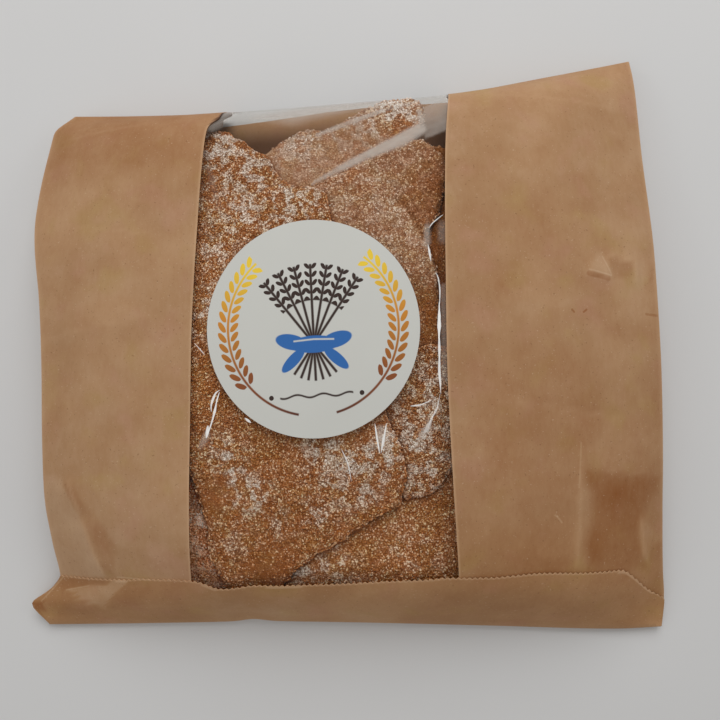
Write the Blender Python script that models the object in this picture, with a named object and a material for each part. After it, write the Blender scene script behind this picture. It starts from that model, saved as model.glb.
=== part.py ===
# Window bag of rye crispbread chips, lying on its back on the plane z = 0.
# Metres, +Z up. The bag's folded top points to +Y, its glued bottom end to -Y,
# and its front, with the film window and the round label, faces +Z.

import math

import bpy
import bmesh
import numpy as np

MM = 0.001

# Bag outline in millimetres. u runs across the front from its left crease (0)
# to its right crease (1), v runs from the bottom fold (0) to the top fold (1).
LEFT_CREASE_X = [(0.0, -121.7), (0.04, -129.0), (0.094, -115.4), (0.18, -116.3), (0.42, -119.9),
                 (0.61, -123.6), (0.78, -128.7), (0.96, -127.1), (1.0, -119.2)]
RIGHT_CREASE_X = [(0.0, 128.2), (0.045, 129.0), (0.10, 125.5), (0.31, 124.2), (0.61, 124.1),
                  (0.82, 123.3), (1.0, 123.5)]
LEFT_BACK_X = [(0.0, -121.7), (0.04, -129.0), (0.094, -119.5), (0.18, -120.5), (0.31, -123.5),
               (0.5, -125.5), (0.8, -128.9), (0.96, -127.3), (1.0, -119.2)]
RIGHT_BACK_X = [(0.0, 128.2), (0.045, 129.0), (0.12, 127.5), (0.8, 127.5), (1.0, 123.5)]
BOTTOM_FOLD_Y = [(0.0, -119.1), (0.2, -117.9), (0.3, -117.2), (0.335, -115.4), (0.37, -117.0),
                 (0.5, -117.4), (0.72, -119.2), (0.93, -120.6), (1.0, -119.9)]
TOP_FOLD_LEFT_Y = 94.9
TOP_FOLD_RISE = 25.9
TOP_FOLD_POWER = 2.1

# Heights of the front above the table, in millimetres, along v.
RIDGE_Z = [(0.0, 4.5), (0.03, 15.0), (0.06, 24.0), (0.09, 29.5), (0.16, 35.2), (0.25, 38.2),
           (0.5, 41.0), (0.75, 38.8), (0.86, 35.8), (0.92, 31.5), (0.96, 25.0), (0.985, 17.0),
           (1.0, 9.0)]
LEFT_CREASE_Z = [(0.0, 3.0), (0.04, 4.2), (0.094, 10.0), (0.18, 15.0), (0.28, 20.0), (0.42, 22.0),
                 (0.65, 22.0), (0.8, 18.0), (0.95, 11.0), (1.0, 9.0)]
RIGHT_CREASE_Z = [(0.0, 3.0), (0.045, 4.6), (0.10, 10.0), (0.18, 15.5), (0.31, 21.0), (0.46, 23.0),
                  (0.61, 22.0), (0.82, 16.0), (0.95, 12.0), (1.0, 8.0)]
CROWN_POWER = 3.0

# Gussets, folds and the glued bottom flap.
GUSSET_DEPTH = 8.0
GUSSET_START = 0.12
GUSSET_END = 0.10
FLAP_TOP_V = 0.094
FLAP_STEP = 0.7
TOP_NOSE = 1.8
BOTTOM_NOSE = 0.5

# Window in the front, and the tray under it that holds the chips.
WINDOW_LEFT_X = [(0.0, -60.6), (0.5, -58.2), (1.0, -55.6)]
WINDOW_RIGHT_X = [(0.0, 43.0), (0.25, 38.6), (0.5, 36.8), (0.75, 38.2), (1.0, 43.6)]
WINDOW_LOW_V = 0.098
WINDOW_HIGH_V = 0.988
TRAY_MARGIN = 8.0
TRAY_LOW_V = 0.065
TRAY_HIGH_V = 0.975
TRAY_FLOOR_Z = [(0.0, 6.0), (0.12, 8.0), (0.2, 14.0), (0.72, 14.0), (0.88, 2.0), (1.0, 1.5)]
PAPER_LIP = 1.0
CUTTER_TOP_Z = 60.0

# Window film and label.
PIECE_GAP = 0.3
FILM_MARGIN = 6.5
FILM_DROP = PAPER_LIP + PIECE_GAP
FILM_THICK = 0.5
LABEL_RADIUS = 40.0
LABEL_CENTRE = (-12.5, -3.7)
LABEL_THICK = 0.35
LABEL_DROP = FILM_DROP - PIECE_GAP

# Back flap of the folded-over top, marked by a shallow step along its mouth.
MOUTH_CENTRE = (2.0, 62.0)
MOUTH_TURN = math.radians(11.0)
MOUTH_GROOVE = (300.0, 1.2, 0.6)

# Chips, from the one that lies on top to the lowest. Outlines are in millimetres,
# slopes in millimetres of height for each millimetre along X and Y, and bend is
# the radius of a chip's gentle arch along Y.
CHIP_THICK = 3.2
CHIP_EDGE = 0.9
CHIP_GAP = 0.5
CHIP_BEND_ACROSS = 700.0
CHIP_BEND_CENTRE = (-3.0, -6.0)
CHIP_OUTLINE_POINTS = 36
CHIP_RINGS = (0.62, 0.28)
CHIPS = {
    "chip_front": {
        "outline": [(-60, 82), (-50, 81), (-44, 75), (-37, 71), (-33, 64), (-26, 55), (-14, 52),
                    (-8, 44), (15, -37), (20, -46), (22, -56), (24, -66), (12, -73), (3, -78),
                    (-6, -85), (-16, -89), (-27, -100), (-47, -100), (-51, -86), (-51, -74),
                    (-58, -64), (-62, -30), (-62, 33)],
        "slope": (0.0, 0.0), "bend": 290.0},
    "chip_right_low": {
        "outline": [(6, -22), (22, -14), (38, -10), (41, -32), (40, -55), (34, -64), (22, -67),
                    (6, -58), (0, -38)],
        "slope": (-0.02, 0.01), "bend": 400.0},
    "chip_right_high": {
        "outline": [(-30, 34), (-14, 56), (-2, 62), (10, 68), (22, 75), (31, 74), (25, 50),
                    (29, 38), (35, 20), (36, -20), (20, -21), (-6, 0), (-24, 12)],
        "slope": (0.02, 0.03), "bend": 700.0},
    "chip_top": {
        "outline": [(-36, 70), (-25, 78), (-18, 83), (-9, 83), (2, 89), (14, 95), (26, 96),
                    (32, 92), (31, 84), (22, 70), (-10, 52), (-34, 54)],
        "slope": (0.04, -0.12), "bend": 2000.0},
    "chip_far_right": {
        "outline": [(26, 60), (29, 68), (35, 75), (40, 75), (43, 50), (42, 12), (41, -16), (32, -24),
                    (26, 0), (22, 30)],
        "slope": (0.03, 0.0), "bend": 2000.0},
    "chip_low_right": {
        "outline": [(-34, -101), (-6, -76), (20, -60), (42, -52), (44, -76), (44, -100), (5, -101)],
        "slope": (0.06, 0.0), "bend": 3000.0},
    "chip_low_left": {
        "outline": [(-63, -56), (-50, -52), (-40, -70), (-40, -101), (-52, -101), (-63, -99)],
        "slope": (0.02, 0.02), "bend": 290.0},
}

# Mesh fineness: rows of points across and along each sheet.
FRONT_COLUMNS = 22
BACK_COLUMNS = 4
STATIONS = [0.0, 0.02, 0.04, 0.065, 0.094, 0.125, 0.16, 0.2, 0.25, 0.31, 0.38, 0.45, 0.52, 0.59,
            0.66, 0.72, 0.78, 0.83, 0.87, 0.90, 0.925, 0.945, 0.96, 0.975, 0.988, 1.0]
WINDOW_COLUMNS = 10
FILM_END_SHARE = 0.12
LABEL_SPOKES = 36
LABEL_RINGS = (0.97, 0.66, 0.33)

# Finishes: base colour, roughness.
KRAFT = ("kraft_paper", (0.33, 0.19, 0.10), 0.82)
FILM = ("clear_film", (0.80, 0.78, 0.75), 0.12)
STICKER = ("label_paper", (0.56, 0.55, 0.51), 0.45)
CRISPBREAD = ("rye_crispbread", (0.27, 0.13, 0.055), 0.90)


def curve_through(stations):
    """A smooth curve through (place, value) stations that never overshoots them."""
    place = np.array([station[0] for station in stations], float)
    value = np.array([station[1] for station in stations], float)
    step = np.diff(place)
    rise = np.diff(value) / step
    tangent = np.zeros(len(place))
    tangent[0], tangent[-1] = rise[0], rise[-1]
    for i in range(1, len(rise)):
        if rise[i - 1] * rise[i] > 0:
            tangent[i] = 2.0 * rise[i - 1] * rise[i] / (rise[i - 1] + rise[i])

    def at(where):
        where = min(max(where, place[0]), place[-1])
        i = min(int(np.searchsorted(place, where, side="right")) - 1, len(step) - 1)
        t = (where - place[i]) / step[i]
        h00 = (1 + 2 * t) * (1 - t) ** 2
        h10 = t * (1 - t) ** 2
        h01 = t * t * (3 - 2 * t)
        h11 = t * t * (t - 1)
        return (h00 * value[i] + h10 * step[i] * tangent[i]
                + h01 * value[i + 1] + h11 * step[i] * tangent[i + 1])

    return at


left_crease_x = curve_through(LEFT_CREASE_X)
right_crease_x = curve_through(RIGHT_CREASE_X)
left_back_x = curve_through(LEFT_BACK_X)
right_back_x = curve_through(RIGHT_BACK_X)
bottom_fold_y = curve_through(BOTTOM_FOLD_Y)
ridge_z = curve_through(RIDGE_Z)
left_crease_z = curve_through(LEFT_CREASE_Z)
right_crease_z = curve_through(RIGHT_CREASE_Z)
window_left_x = curve_through(WINDOW_LEFT_X)
window_right_x = curve_through(WINDOW_RIGHT_X)
tray_floor_z = curve_through(TRAY_FLOOR_Z)


def top_fold_y(u):
    return TOP_FOLD_LEFT_Y + TOP_FOLD_RISE * u ** TOP_FOLD_POWER


def front_height(u, v):
    """Height of the front at (u, v), without the bottom flap's extra layer."""
    edge = (1 - u) * left_crease_z(v) + u * right_crease_z(v)
    crown = 1 - abs(2 * u - 1) ** CROWN_POWER
    return edge + (ridge_z(v) - edge) * crown


def front_point(u, v, lift=0.0):
    x = (1 - u) * left_crease_x(v) + u * right_crease_x(v)
    y = bottom_fold_y(u) + (top_fold_y(u) - bottom_fold_y(u)) * v
    return (x, y, front_height(u, v) + lift)


def across_and_along(x, y):
    """The (u, v) of the front under the point (x, y)."""
    u, v = 0.5, 0.5
    for _ in range(12):
        low = bottom_fold_y(u)
        v = min(max((y - low) / (top_fold_y(u) - low), 0.0), 1.0)
        left = left_crease_x(v)
        u = min(max((x - left) / (right_crease_x(v) - left), 0.0), 1.0)
    return u, v


def front_z(x, y):
    return front_height(*across_and_along(x, y))


def film_bottom_z(x, y):
    return front_z(x, y) - FILM_DROP - FILM_THICK


def finish_for(finish):
    """The Principled material of a finish, made once."""
    name, colour, roughness = finish
    material = bpy.data.materials.get(name)
    if material is None:
        material = bpy.data.materials.new(name)
        material.use_nodes = True
        shader = material.node_tree.nodes["Principled BSDF"]
        shader.inputs["Base Color"].default_value = (*colour, 1.0)
        shader.inputs["Roughness"].default_value = roughness
        shader.inputs["Metallic"].default_value = 0.0
    return material


def add_object(name, points, faces, finish, sharp_angle=35.0):
    """An object from points in millimetres and faces, shaded smooth between sharp edges."""
    mesh = bpy.data.meshes.new(name)
    mesh.from_pydata([(x * MM, y * MM, z * MM) for x, y, z in points], [], faces)
    work = bmesh.new()
    work.from_mesh(mesh)
    bmesh.ops.triangulate(work, faces=work.faces[:])
    bmesh.ops.recalc_face_normals(work, faces=work.faces[:])
    work.to_mesh(mesh)
    work.free()
    mesh.shade_smooth()
    mesh.set_sharp_from_angle(angle=math.radians(sharp_angle))
    mesh.materials.append(finish_for(finish))
    piece = bpy.data.objects.new(name, mesh)
    bpy.context.scene.collection.objects.link(piece)
    return piece


def loft(rings):
    """Points and faces of a closed body through rings of equal length, capped at both ends."""
    count = len(rings[0])
    points = [point for ring in rings for point in ring]
    faces = []
    for row in range(len(rings) - 1):
        for i in range(count):
            j = (i + 1) % count
            a, b = row * count, (row + 1) * count
            faces.append((a + i, a + j, b + j, b + i))
    faces.append(tuple(range(count - 1, -1, -1)))
    faces.append(tuple(range((len(rings) - 1) * count, len(rings) * count)))
    return points, faces


def sheet_body(top, bottom):
    """Points and faces of a thin closed body between two equal grids of points."""
    rows, columns = len(top), len(top[0])
    points = [point for row in top for point in row] + [point for row in bottom for point in row]
    lower = rows * columns
    faces = []
    for r in range(rows - 1):
        for c in range(columns - 1):
            a = r * columns + c
            b = a + columns
            faces.append((a, a + 1, b + 1, b))
            faces.append((lower + a, lower + b, lower + b + 1, lower + a + 1))
    border = [c for c in range(columns)]
    border += [r * columns + columns - 1 for r in range(1, rows)]
    border += [(rows - 1) * columns + c for c in range(columns - 2, -1, -1)]
    border += [r * columns for r in range(rows - 2, 0, -1)]
    for i, a in enumerate(border):
        b = border[(i + 1) % len(border)]
        faces.append((b, a, lower + a, lower + b))
    return points, faces


def bag_ring(v, lift=0.0, nose=0.0, squeeze=0.0):
    """One cross-section of the bag: front, right gusset, back, left gusset."""
    front = [front_point(i / FRONT_COLUMNS, v, lift) for i in range(FRONT_COLUMNS + 1)]
    fade = min(1.0, v / GUSSET_START, (1 - v) / GUSSET_END)
    depth = 0.4 + (GUSSET_DEPTH - 0.4) * max(fade, 0.0)
    left, right = front[0], front[-1]
    right_valley = (0.5 * (right[0] + right_back_x(v)) - depth, right[1], 0.5 * right[2])
    left_valley = (0.5 * (left[0] + left_back_x(v)) + depth, left[1], 0.5 * left[2])
    back = []
    for i in range(BACK_COLUMNS + 1):
        u = 1 - i / BACK_COLUMNS
        x = (1 - u) * left_back_x(v) + u * right_back_x(v)
        y = bottom_fold_y(u) + (top_fold_y(u) - bottom_fold_y(u)) * v
        back.append((x, y, 0.0))
    ring = front + [right_valley] + back + [left_valley]
    squeezed = []
    for x, y, z in ring:
        across = min(max((x - left[0]) / (right[0] - left[0]), 0.0), 1.0)
        centre = 0.5 * front_height(across, v)
        squeezed.append((x, y + nose, z + (centre - z) * squeeze))
    return squeezed


def make_bag():
    rings = [bag_ring(0.0, FLAP_STEP, -BOTTOM_NOSE, 0.55)]
    for v in STATIONS:
        on_flap = v <= FLAP_TOP_V
        rings.append(bag_ring(v, FLAP_STEP if on_flap else 0.0))
        if v == FLAP_TOP_V:
            rings.append(bag_ring(v + 0.001))
    rings.append(bag_ring(1.0, 0.0, 0.6 * TOP_NOSE, 0.25))
    rings.append(bag_ring(1.0, 0.0, TOP_NOSE, 0.7))
    points, faces = loft(rings)
    return add_object("paper_bag", points, faces, KRAFT)


def window_point(s, v, drop, spread=0.0):
    """A point under the window's surface: s runs across it, spread widens it on both sides."""
    left = window_left_x(v) - spread
    right = window_right_x(v) + spread
    x = (1 - s) * left + s * right
    crease = left_crease_x(v)
    u = (x - crease) / (right_crease_x(v) - crease)
    y = bottom_fold_y(u) + (top_fold_y(u) - bottom_fold_y(u)) * v
    return (x, y, front_height(u, v) - drop)


def stations_between(low, high):
    """The bag's own stations from low to high, with both ends."""
    return [low] + [v for v in STATIONS if low < v < high] + [high]


def add_cutter(bag, name, points, faces):
    """A hidden body that a Boolean takes away from the bag."""
    cutter = add_object(name, points, faces, KRAFT)
    cutter.hide_render = True
    cutter.display_type = "WIRE"
    cut = bag.modifiers.new(name, "BOOLEAN")
    cut.operation = "DIFFERENCE"
    cut.object = cutter


def cut_window(bag):
    """Cut the tray for the chips, wider than the window, and the window above it."""
    shares = [i / WINDOW_COLUMNS for i in range(WINDOW_COLUMNS + 1)]
    tray, window = [], []
    for v in stations_between(TRAY_LOW_V, TRAY_HIGH_V):
        roof = [window_point(s, v, PAPER_LIP, TRAY_MARGIN) for s in shares]
        floor = [(x, y, tray_floor_z(v)) for x, y, z in roof]
        tray.append(floor + roof[::-1])
    for v in stations_between(WINDOW_LOW_V, WINDOW_HIGH_V):
        low = [window_point(s, v, 2 * PAPER_LIP) for s in shares]
        window.append(low + [(x, y, CUTTER_TOP_Z) for x, y, z in low[::-1]])
    add_cutter(bag, "tray_cutter", *loft(tray))
    add_cutter(bag, "window_cutter", *loft(window))


def cut_mouth_groove(bag):
    """Mark the edge of the folded-over top on the back with a shallow groove."""
    length, width, depth = MOUTH_GROOVE
    along = (math.cos(MOUTH_TURN), math.sin(MOUTH_TURN))
    corners = []
    for z in (-1.0, depth):
        for a, b in ((-0.5, -0.5), (0.5, -0.5), (0.5, 0.5), (-0.5, 0.5)):
            x = MOUTH_CENTRE[0] + a * length * along[0] - b * width * along[1]
            y = MOUTH_CENTRE[1] + a * length * along[1] + b * width * along[0]
            corners.append((x, y, z))
    add_cutter(bag, "mouth_cutter", *loft([corners[:4], corners[4:]]))


def drawn_in(rows):
    """The rows with both end rows drawn in a little, so that they clear the tray's ends."""
    near = [tuple(a + (b - a) * FILM_END_SHARE for a, b in zip(p, q))
            for p, q in zip(rows[0], rows[1])]
    far = [tuple(a + (b - a) * FILM_END_SHARE for a, b in zip(p, q))
           for p, q in zip(rows[-1], rows[-2])]
    return [near] + rows[1:-1] + [far]


def make_film():
    shares = [i / WINDOW_COLUMNS for i in range(WINDOW_COLUMNS + 1)]
    layers = []
    for drop in (FILM_DROP, FILM_DROP + FILM_THICK):
        layers.append(drawn_in([[window_point(s, v, drop, FILM_MARGIN) for s in shares]
                                for v in stations_between(TRAY_LOW_V, TRAY_HIGH_V)]))
    points, faces = sheet_body(*layers)
    return add_object("window_film", points, faces, FILM)


def make_label():
    """A round sticker that follows the film, a small gap above it."""
    def at(radius, angle, lift):
        x = LABEL_CENTRE[0] + radius * math.cos(angle)
        y = LABEL_CENTRE[1] + radius * math.sin(angle)
        return (x, y, front_z(x, y) + lift)

    levels = (-LABEL_DROP, LABEL_THICK - LABEL_DROP)
    points = [at(0.0, 0.0, level) for level in levels]
    radii = (1.0, *LABEL_RINGS)
    for lift in levels:
        for share in radii:
            for i in range(LABEL_SPOKES):
                points.append(at(share * LABEL_RADIUS, 2 * math.pi * i / LABEL_SPOKES, lift))
    side = len(radii) * LABEL_SPOKES
    faces = []
    for i in range(LABEL_SPOKES):
        j = (i + 1) % LABEL_SPOKES
        for layer in (0, 1):
            base = 2 + layer * side
            for ring in range(len(radii) - 1):
                a = base + ring * LABEL_SPOKES
                b = a + LABEL_SPOKES
                faces.append((a + i, a + j, b + j, b + i))
            inner = base + (len(radii) - 1) * LABEL_SPOKES
            faces.append((inner + i, inner + j, layer))
        faces.append((2 + i, 2 + j, 2 + side + j, 2 + side + i))
    return add_object("label", points, faces, STICKER)


def resampled(outline, count):
    """The closed outline as count points at equal distances along it."""
    ends = np.array(outline + outline[:1], float)
    lengths = np.hypot(*np.diff(ends, axis=0).T)
    travelled = np.concatenate([[0.0], np.cumsum(lengths)])
    wanted = np.linspace(0.0, travelled[-1], count, endpoint=False)
    return np.column_stack([np.interp(wanted, travelled, ends[:, k]) for k in (0, 1)])


def inside(outline, x, y):
    """Whether (x, y) lies inside the closed outline."""
    hit = False
    for (x1, y1), (x2, y2) in zip(outline, outline[1:] + outline[:1]):
        if (y1 > y) != (y2 > y) and x < x1 + (y - y1) / (y2 - y1) * (x2 - x1):
            hit = not hit
    return hit


def chip_shape(chip, x, y):
    """Height of a chip's top over its own datum: two slopes and a gentle bend."""
    slope_x, slope_y = chip["slope"]
    bend = (y - CHIP_BEND_CENTRE[1]) ** 2 / (2 * chip["bend"])
    bend += (x - CHIP_BEND_CENTRE[0]) ** 2 / (2 * CHIP_BEND_ACROSS)
    return slope_x * x + slope_y * y - bend


def hang_chips():
    """Each chip's datum height: as high as the film and the chips above it allow."""
    placed = []
    for name, chip in CHIPS.items():
        outline = chip["outline"]
        xs = [x for x, y in outline]
        ys = [y for x, y in outline]
        room = math.inf
        for x in np.arange(min(xs) - 1.0, max(xs) + 2.0, 2.0):
            for y in np.arange(min(ys) - 1.0, max(ys) + 2.0, 2.0):
                near = any(inside(outline, x + dx, y + dy) for dx in (-2, 2) for dy in (-2, 2))
                if not near:
                    continue
                ceiling = film_bottom_z(x, y)
                for other in placed:
                    if any(inside(other["outline"], x + dx, y + dy)
                           for dx in (-2, 2) for dy in (-2, 2)):
                        under = other["datum"] + chip_shape(other, x, y) - CHIP_THICK
                        ceiling = min(ceiling, under)
                room = min(room, ceiling - CHIP_GAP - chip_shape(chip, x, y))
        chip["datum"] = room
        placed.append(chip)


def make_chip(name, chip):
    """A thin irregular slab with rounded edges, as rings from its rim to its middle."""
    rim = resampled(chip["outline"], CHIP_OUTLINE_POINTS)
    centre = rim.mean(axis=0)
    reach = np.hypot(*(rim - centre).T)[:, None]
    shoulder = centre + (rim - centre) * (1 - CHIP_EDGE / reach)
    rings = [shoulder] + [centre + (rim - centre) * share for share in CHIP_RINGS]

    def height(point, depth):
        return chip["datum"] + chip_shape(chip, point[0], point[1]) - depth

    points = [(*centre, height(centre, 0.0)), (*centre, height(centre, CHIP_THICK))]
    points += [(*p, height(p, 0.5 * CHIP_THICK)) for p in rim]
    for depth in (0.0, CHIP_THICK):
        for ring in rings:
            points += [(*p, height(p, depth)) for p in ring]
    count = CHIP_OUTLINE_POINTS
    faces = []
    for i in range(count):
        j = (i + 1) % count
        for layer in (0, 1):
            starts = [2] + [2 + count * (1 + layer * len(rings) + k) for k in range(len(rings))]
            for a, b in zip(starts, starts[1:]):
                faces.append((a + i, a + j, b + j, b + i))
            faces.append((starts[-1] + i, starts[-1] + j, layer))
    return add_object(name, points, faces, CRISPBREAD, sharp_angle=70.0)


def centre_on_origin(pieces, bag):
    """Move every mesh so that the bag's box is centred on x = 0 and y = 0."""
    corners = np.array([vertex.co for vertex in bag.data.vertices])
    middle = 0.5 * (corners.min(axis=0) + corners.max(axis=0))
    for piece in pieces:
        for vertex in piece.data.vertices:
            vertex.co.x -= middle[0]
            vertex.co.y -= middle[1]


def main():
    for old in list(bpy.data.objects):
        bpy.data.objects.remove(old, do_unlink=True)
    bag = make_bag()
    cut_window(bag)
    cut_mouth_groove(bag)
    make_film()
    make_label()
    hang_chips()
    for name, chip in CHIPS.items():
        make_chip(name, chip)
    centre_on_origin(list(bpy.data.objects), bag)


main()
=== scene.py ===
# Window bag of rye crispbread chips, lying on its back on a pale floor.
import math

import bpy
import numpy as np
from mathutils import Euler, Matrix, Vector, noise
from mathutils.kdtree import KDTree


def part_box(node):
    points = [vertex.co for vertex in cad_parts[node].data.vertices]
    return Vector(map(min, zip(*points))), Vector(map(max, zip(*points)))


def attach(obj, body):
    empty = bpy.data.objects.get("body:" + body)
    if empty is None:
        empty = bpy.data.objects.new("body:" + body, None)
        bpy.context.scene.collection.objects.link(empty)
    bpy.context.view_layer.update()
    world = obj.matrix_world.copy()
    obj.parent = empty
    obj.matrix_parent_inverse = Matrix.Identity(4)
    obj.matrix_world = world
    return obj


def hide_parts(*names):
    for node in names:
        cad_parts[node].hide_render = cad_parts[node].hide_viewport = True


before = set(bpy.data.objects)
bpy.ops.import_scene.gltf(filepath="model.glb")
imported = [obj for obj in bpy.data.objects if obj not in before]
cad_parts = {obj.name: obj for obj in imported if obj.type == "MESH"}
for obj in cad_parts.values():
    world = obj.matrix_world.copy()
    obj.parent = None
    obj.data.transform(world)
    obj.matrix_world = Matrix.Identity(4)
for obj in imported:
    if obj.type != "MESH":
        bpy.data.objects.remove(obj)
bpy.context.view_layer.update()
mm = 0.001
farOff = 1e9  # mm, further than anything here
_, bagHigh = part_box("paper_bag")


# Small helpers for curves, noise and meshes

def smoothThrough(stations, blur=0.018):
    # a soft curve through (place, value) stations, as a lookup on 0..1
    place, value = np.array(stations, float).T
    fine = np.linspace(-0.25, 1.25, 1501)
    inner = np.clip(fine, 0, 1)
    step = np.diff(place)
    rise = np.diff(value) / step
    tangent = np.concatenate([rise[:1], np.zeros(len(rise) - 1), rise[-1:]])
    same = rise[:-1] * rise[1:] > 0
    total = np.where(same, rise[:-1] + rise[1:], 1.0)
    tangent[1:-1] = np.where(same, 2 * rise[:-1] * rise[1:] / total, 0.0)
    i = np.clip(np.searchsorted(place, inner, side="right") - 1, 0, len(step) - 1)
    t = (inner - place[i]) / step[i]
    level = ((1 + 2 * t) * (1 - t) ** 2 * value[i] + t * (1 - t) ** 2 * step[i] * tangent[i]
             + t * t * (3 - 2 * t) * value[i + 1] + t * t * (t - 1) * step[i] * tangent[i + 1])
    level += (fine - inner) * np.where(fine < 0, rise[0], rise[-1])
    reach = np.arange(-200, 201) * 0.001
    bell = np.exp(-0.5 * (reach / blur) ** 2)
    level = np.convolve(np.pad(level, 200, mode="edge"), bell / bell.sum(), mode="valid")
    return lambda where: np.interp(where, fine, level)


def lump(x, y, size, seed):
    # soft noise from -1 to 1 at points in millimetres, features about size across
    places = np.column_stack([np.ravel(x) / size, np.ravel(y) / size])
    values = [noise.noise(Vector((a, b, seed))) for a, b in places]
    return np.array(values).reshape(np.shape(x))


def lumps(x, y, layers):
    # noise of several sizes added up: (height, size, seed) for each
    return sum(height * lump(x, y, size, seed) for height, size, seed in layers)


def softStep(value, low, high):
    t = np.clip((value - low) / (high - low), 0, 1)
    return t * t * (3 - 2 * t)


def awayFromEnds(share, low, high):
    # 0 near both ends of 0..1 and 1 in its middle
    return softStep(share, low, high) * softStep(1 - share, low, high)


def alongLine(x, y, x0, y0, x1, y1):
    # how far along a line its nearest point lies, from 0 to 1, and how far away that is
    run = ((x - x0) * (x1 - x0) + (y - y0) * (y1 - y0)) / ((x1 - x0) ** 2 + (y1 - y0) ** 2)
    run = np.clip(run, 0, 1)
    return run, np.hypot(x - x0 - run * (x1 - x0), y - y0 - run * (y1 - y0))


def nothingSelected():
    if bpy.context.mode != "OBJECT":
        bpy.ops.object.mode_set(mode="OBJECT")
    bpy.ops.object.select_all(action="DESELECT")


def pickOnly(piece):
    nothingSelected()
    piece.select_set(True)
    bpy.context.view_layer.objects.active = piece


def named(name):
    # the object that was just made or joined, under its name
    piece = bpy.context.object
    piece.name = piece.data.name = name
    return piece


def joined(name, pieces):
    nothingSelected()
    for piece in pieces:
        piece.select_set(True)
    bpy.context.view_layer.objects.active = pieces[0]
    bpy.ops.object.join()
    return named(name)


def openAll(piece):
    # into edit mode with the whole mesh selected
    pickOnly(piece)
    bpy.ops.object.mode_set(mode="EDIT")
    bpy.ops.mesh.select_all(action="SELECT")


def weld(piece, within):
    # merge points that lie closer together than a distance in millimetres
    openAll(piece)
    bpy.ops.mesh.remove_doubles(threshold=within * mm)
    bpy.ops.object.mode_set(mode="OBJECT")


def readPoints(piece, kind="co"):
    # where a mesh's points are, in metres, or their normals
    flat = np.empty(len(piece.data.vertices) * 3)
    piece.data.vertices.foreach_get(kind, flat)
    return flat.reshape(-1, 3)


def writePoints(piece, points):
    piece.data.vertices.foreach_set("co", points.ravel())


def gridSheet(name, columns, rows, place):
    # a grid primitive laid into shape: place(s, t) gives millimetres, s and t run 0..1
    nothingSelected()
    bpy.ops.mesh.primitive_grid_add(x_subdivisions=columns, y_subdivisions=rows, size=1)
    sheet = named(name)
    s, t, _ = readPoints(sheet).T + 0.5
    writePoints(sheet, np.column_stack(place(s, t)) * mm)
    sheet.data.update()
    return sheet


def paintPoints(piece, name, values):
    layer = piece.data.attributes.get(name) or piece.data.attributes.new(name, "FLOAT", "POINT")
    layer.data.foreach_set("value", np.asarray(values, np.float32))


def applied(piece, kind, **values):
    # add a modifier, set it and apply it
    pickOnly(piece)
    modifier = piece.modifiers.new(kind.lower(), kind)
    for key, value in values.items():
        setattr(modifier, key, value)
    bpy.ops.object.modifier_apply(modifier=modifier.name)


def placed(piece, material, slot, *nodes):
    # finish, body and the CAD nodes that the piece stands for, which are hidden; slot is not used
    piece.data.materials.append(material)
    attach(piece, "root")
    if nodes:
        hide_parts(*nodes)


# Shader maths as Python expressions

class Signal:
    # one socket of a finish, with arithmetic
    def __init__(self, finish, socket):
        self.finish = finish
        self.socket = socket

    def maths(self, operation, first, second):
        return self.finish.maths(operation, first, second)

    def __add__(self, other):
        return self.maths("ADD", self, other)

    def __sub__(self, other):
        return self.maths("SUBTRACT", self, other)

    def __mul__(self, other):
        return self.maths("MULTIPLY", self, other)

    def __truediv__(self, other):
        return self.maths("DIVIDE", self, other)

    def __pow__(self, other):
        return self.maths("POWER", self, other)

    def __mod__(self, other):
        return self.maths("FLOORED_MODULO", self, other)

    def __gt__(self, other):
        return self.maths("GREATER_THAN", self, other)

    def __rsub__(self, other):
        return self.maths("SUBTRACT", other, self)

    def __rtruediv__(self, other):
        return self.maths("DIVIDE", other, self)

    def __rpow__(self, other):
        return self.maths("POWER", other, self)

    def __rmod__(self, other):
        return self.maths("FLOORED_MODULO", other, self)

    def __abs__(self):
        return self.maths("ABSOLUTE", self, 0.0)

    __radd__ = __add__
    __rmul__ = __mul__


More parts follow.
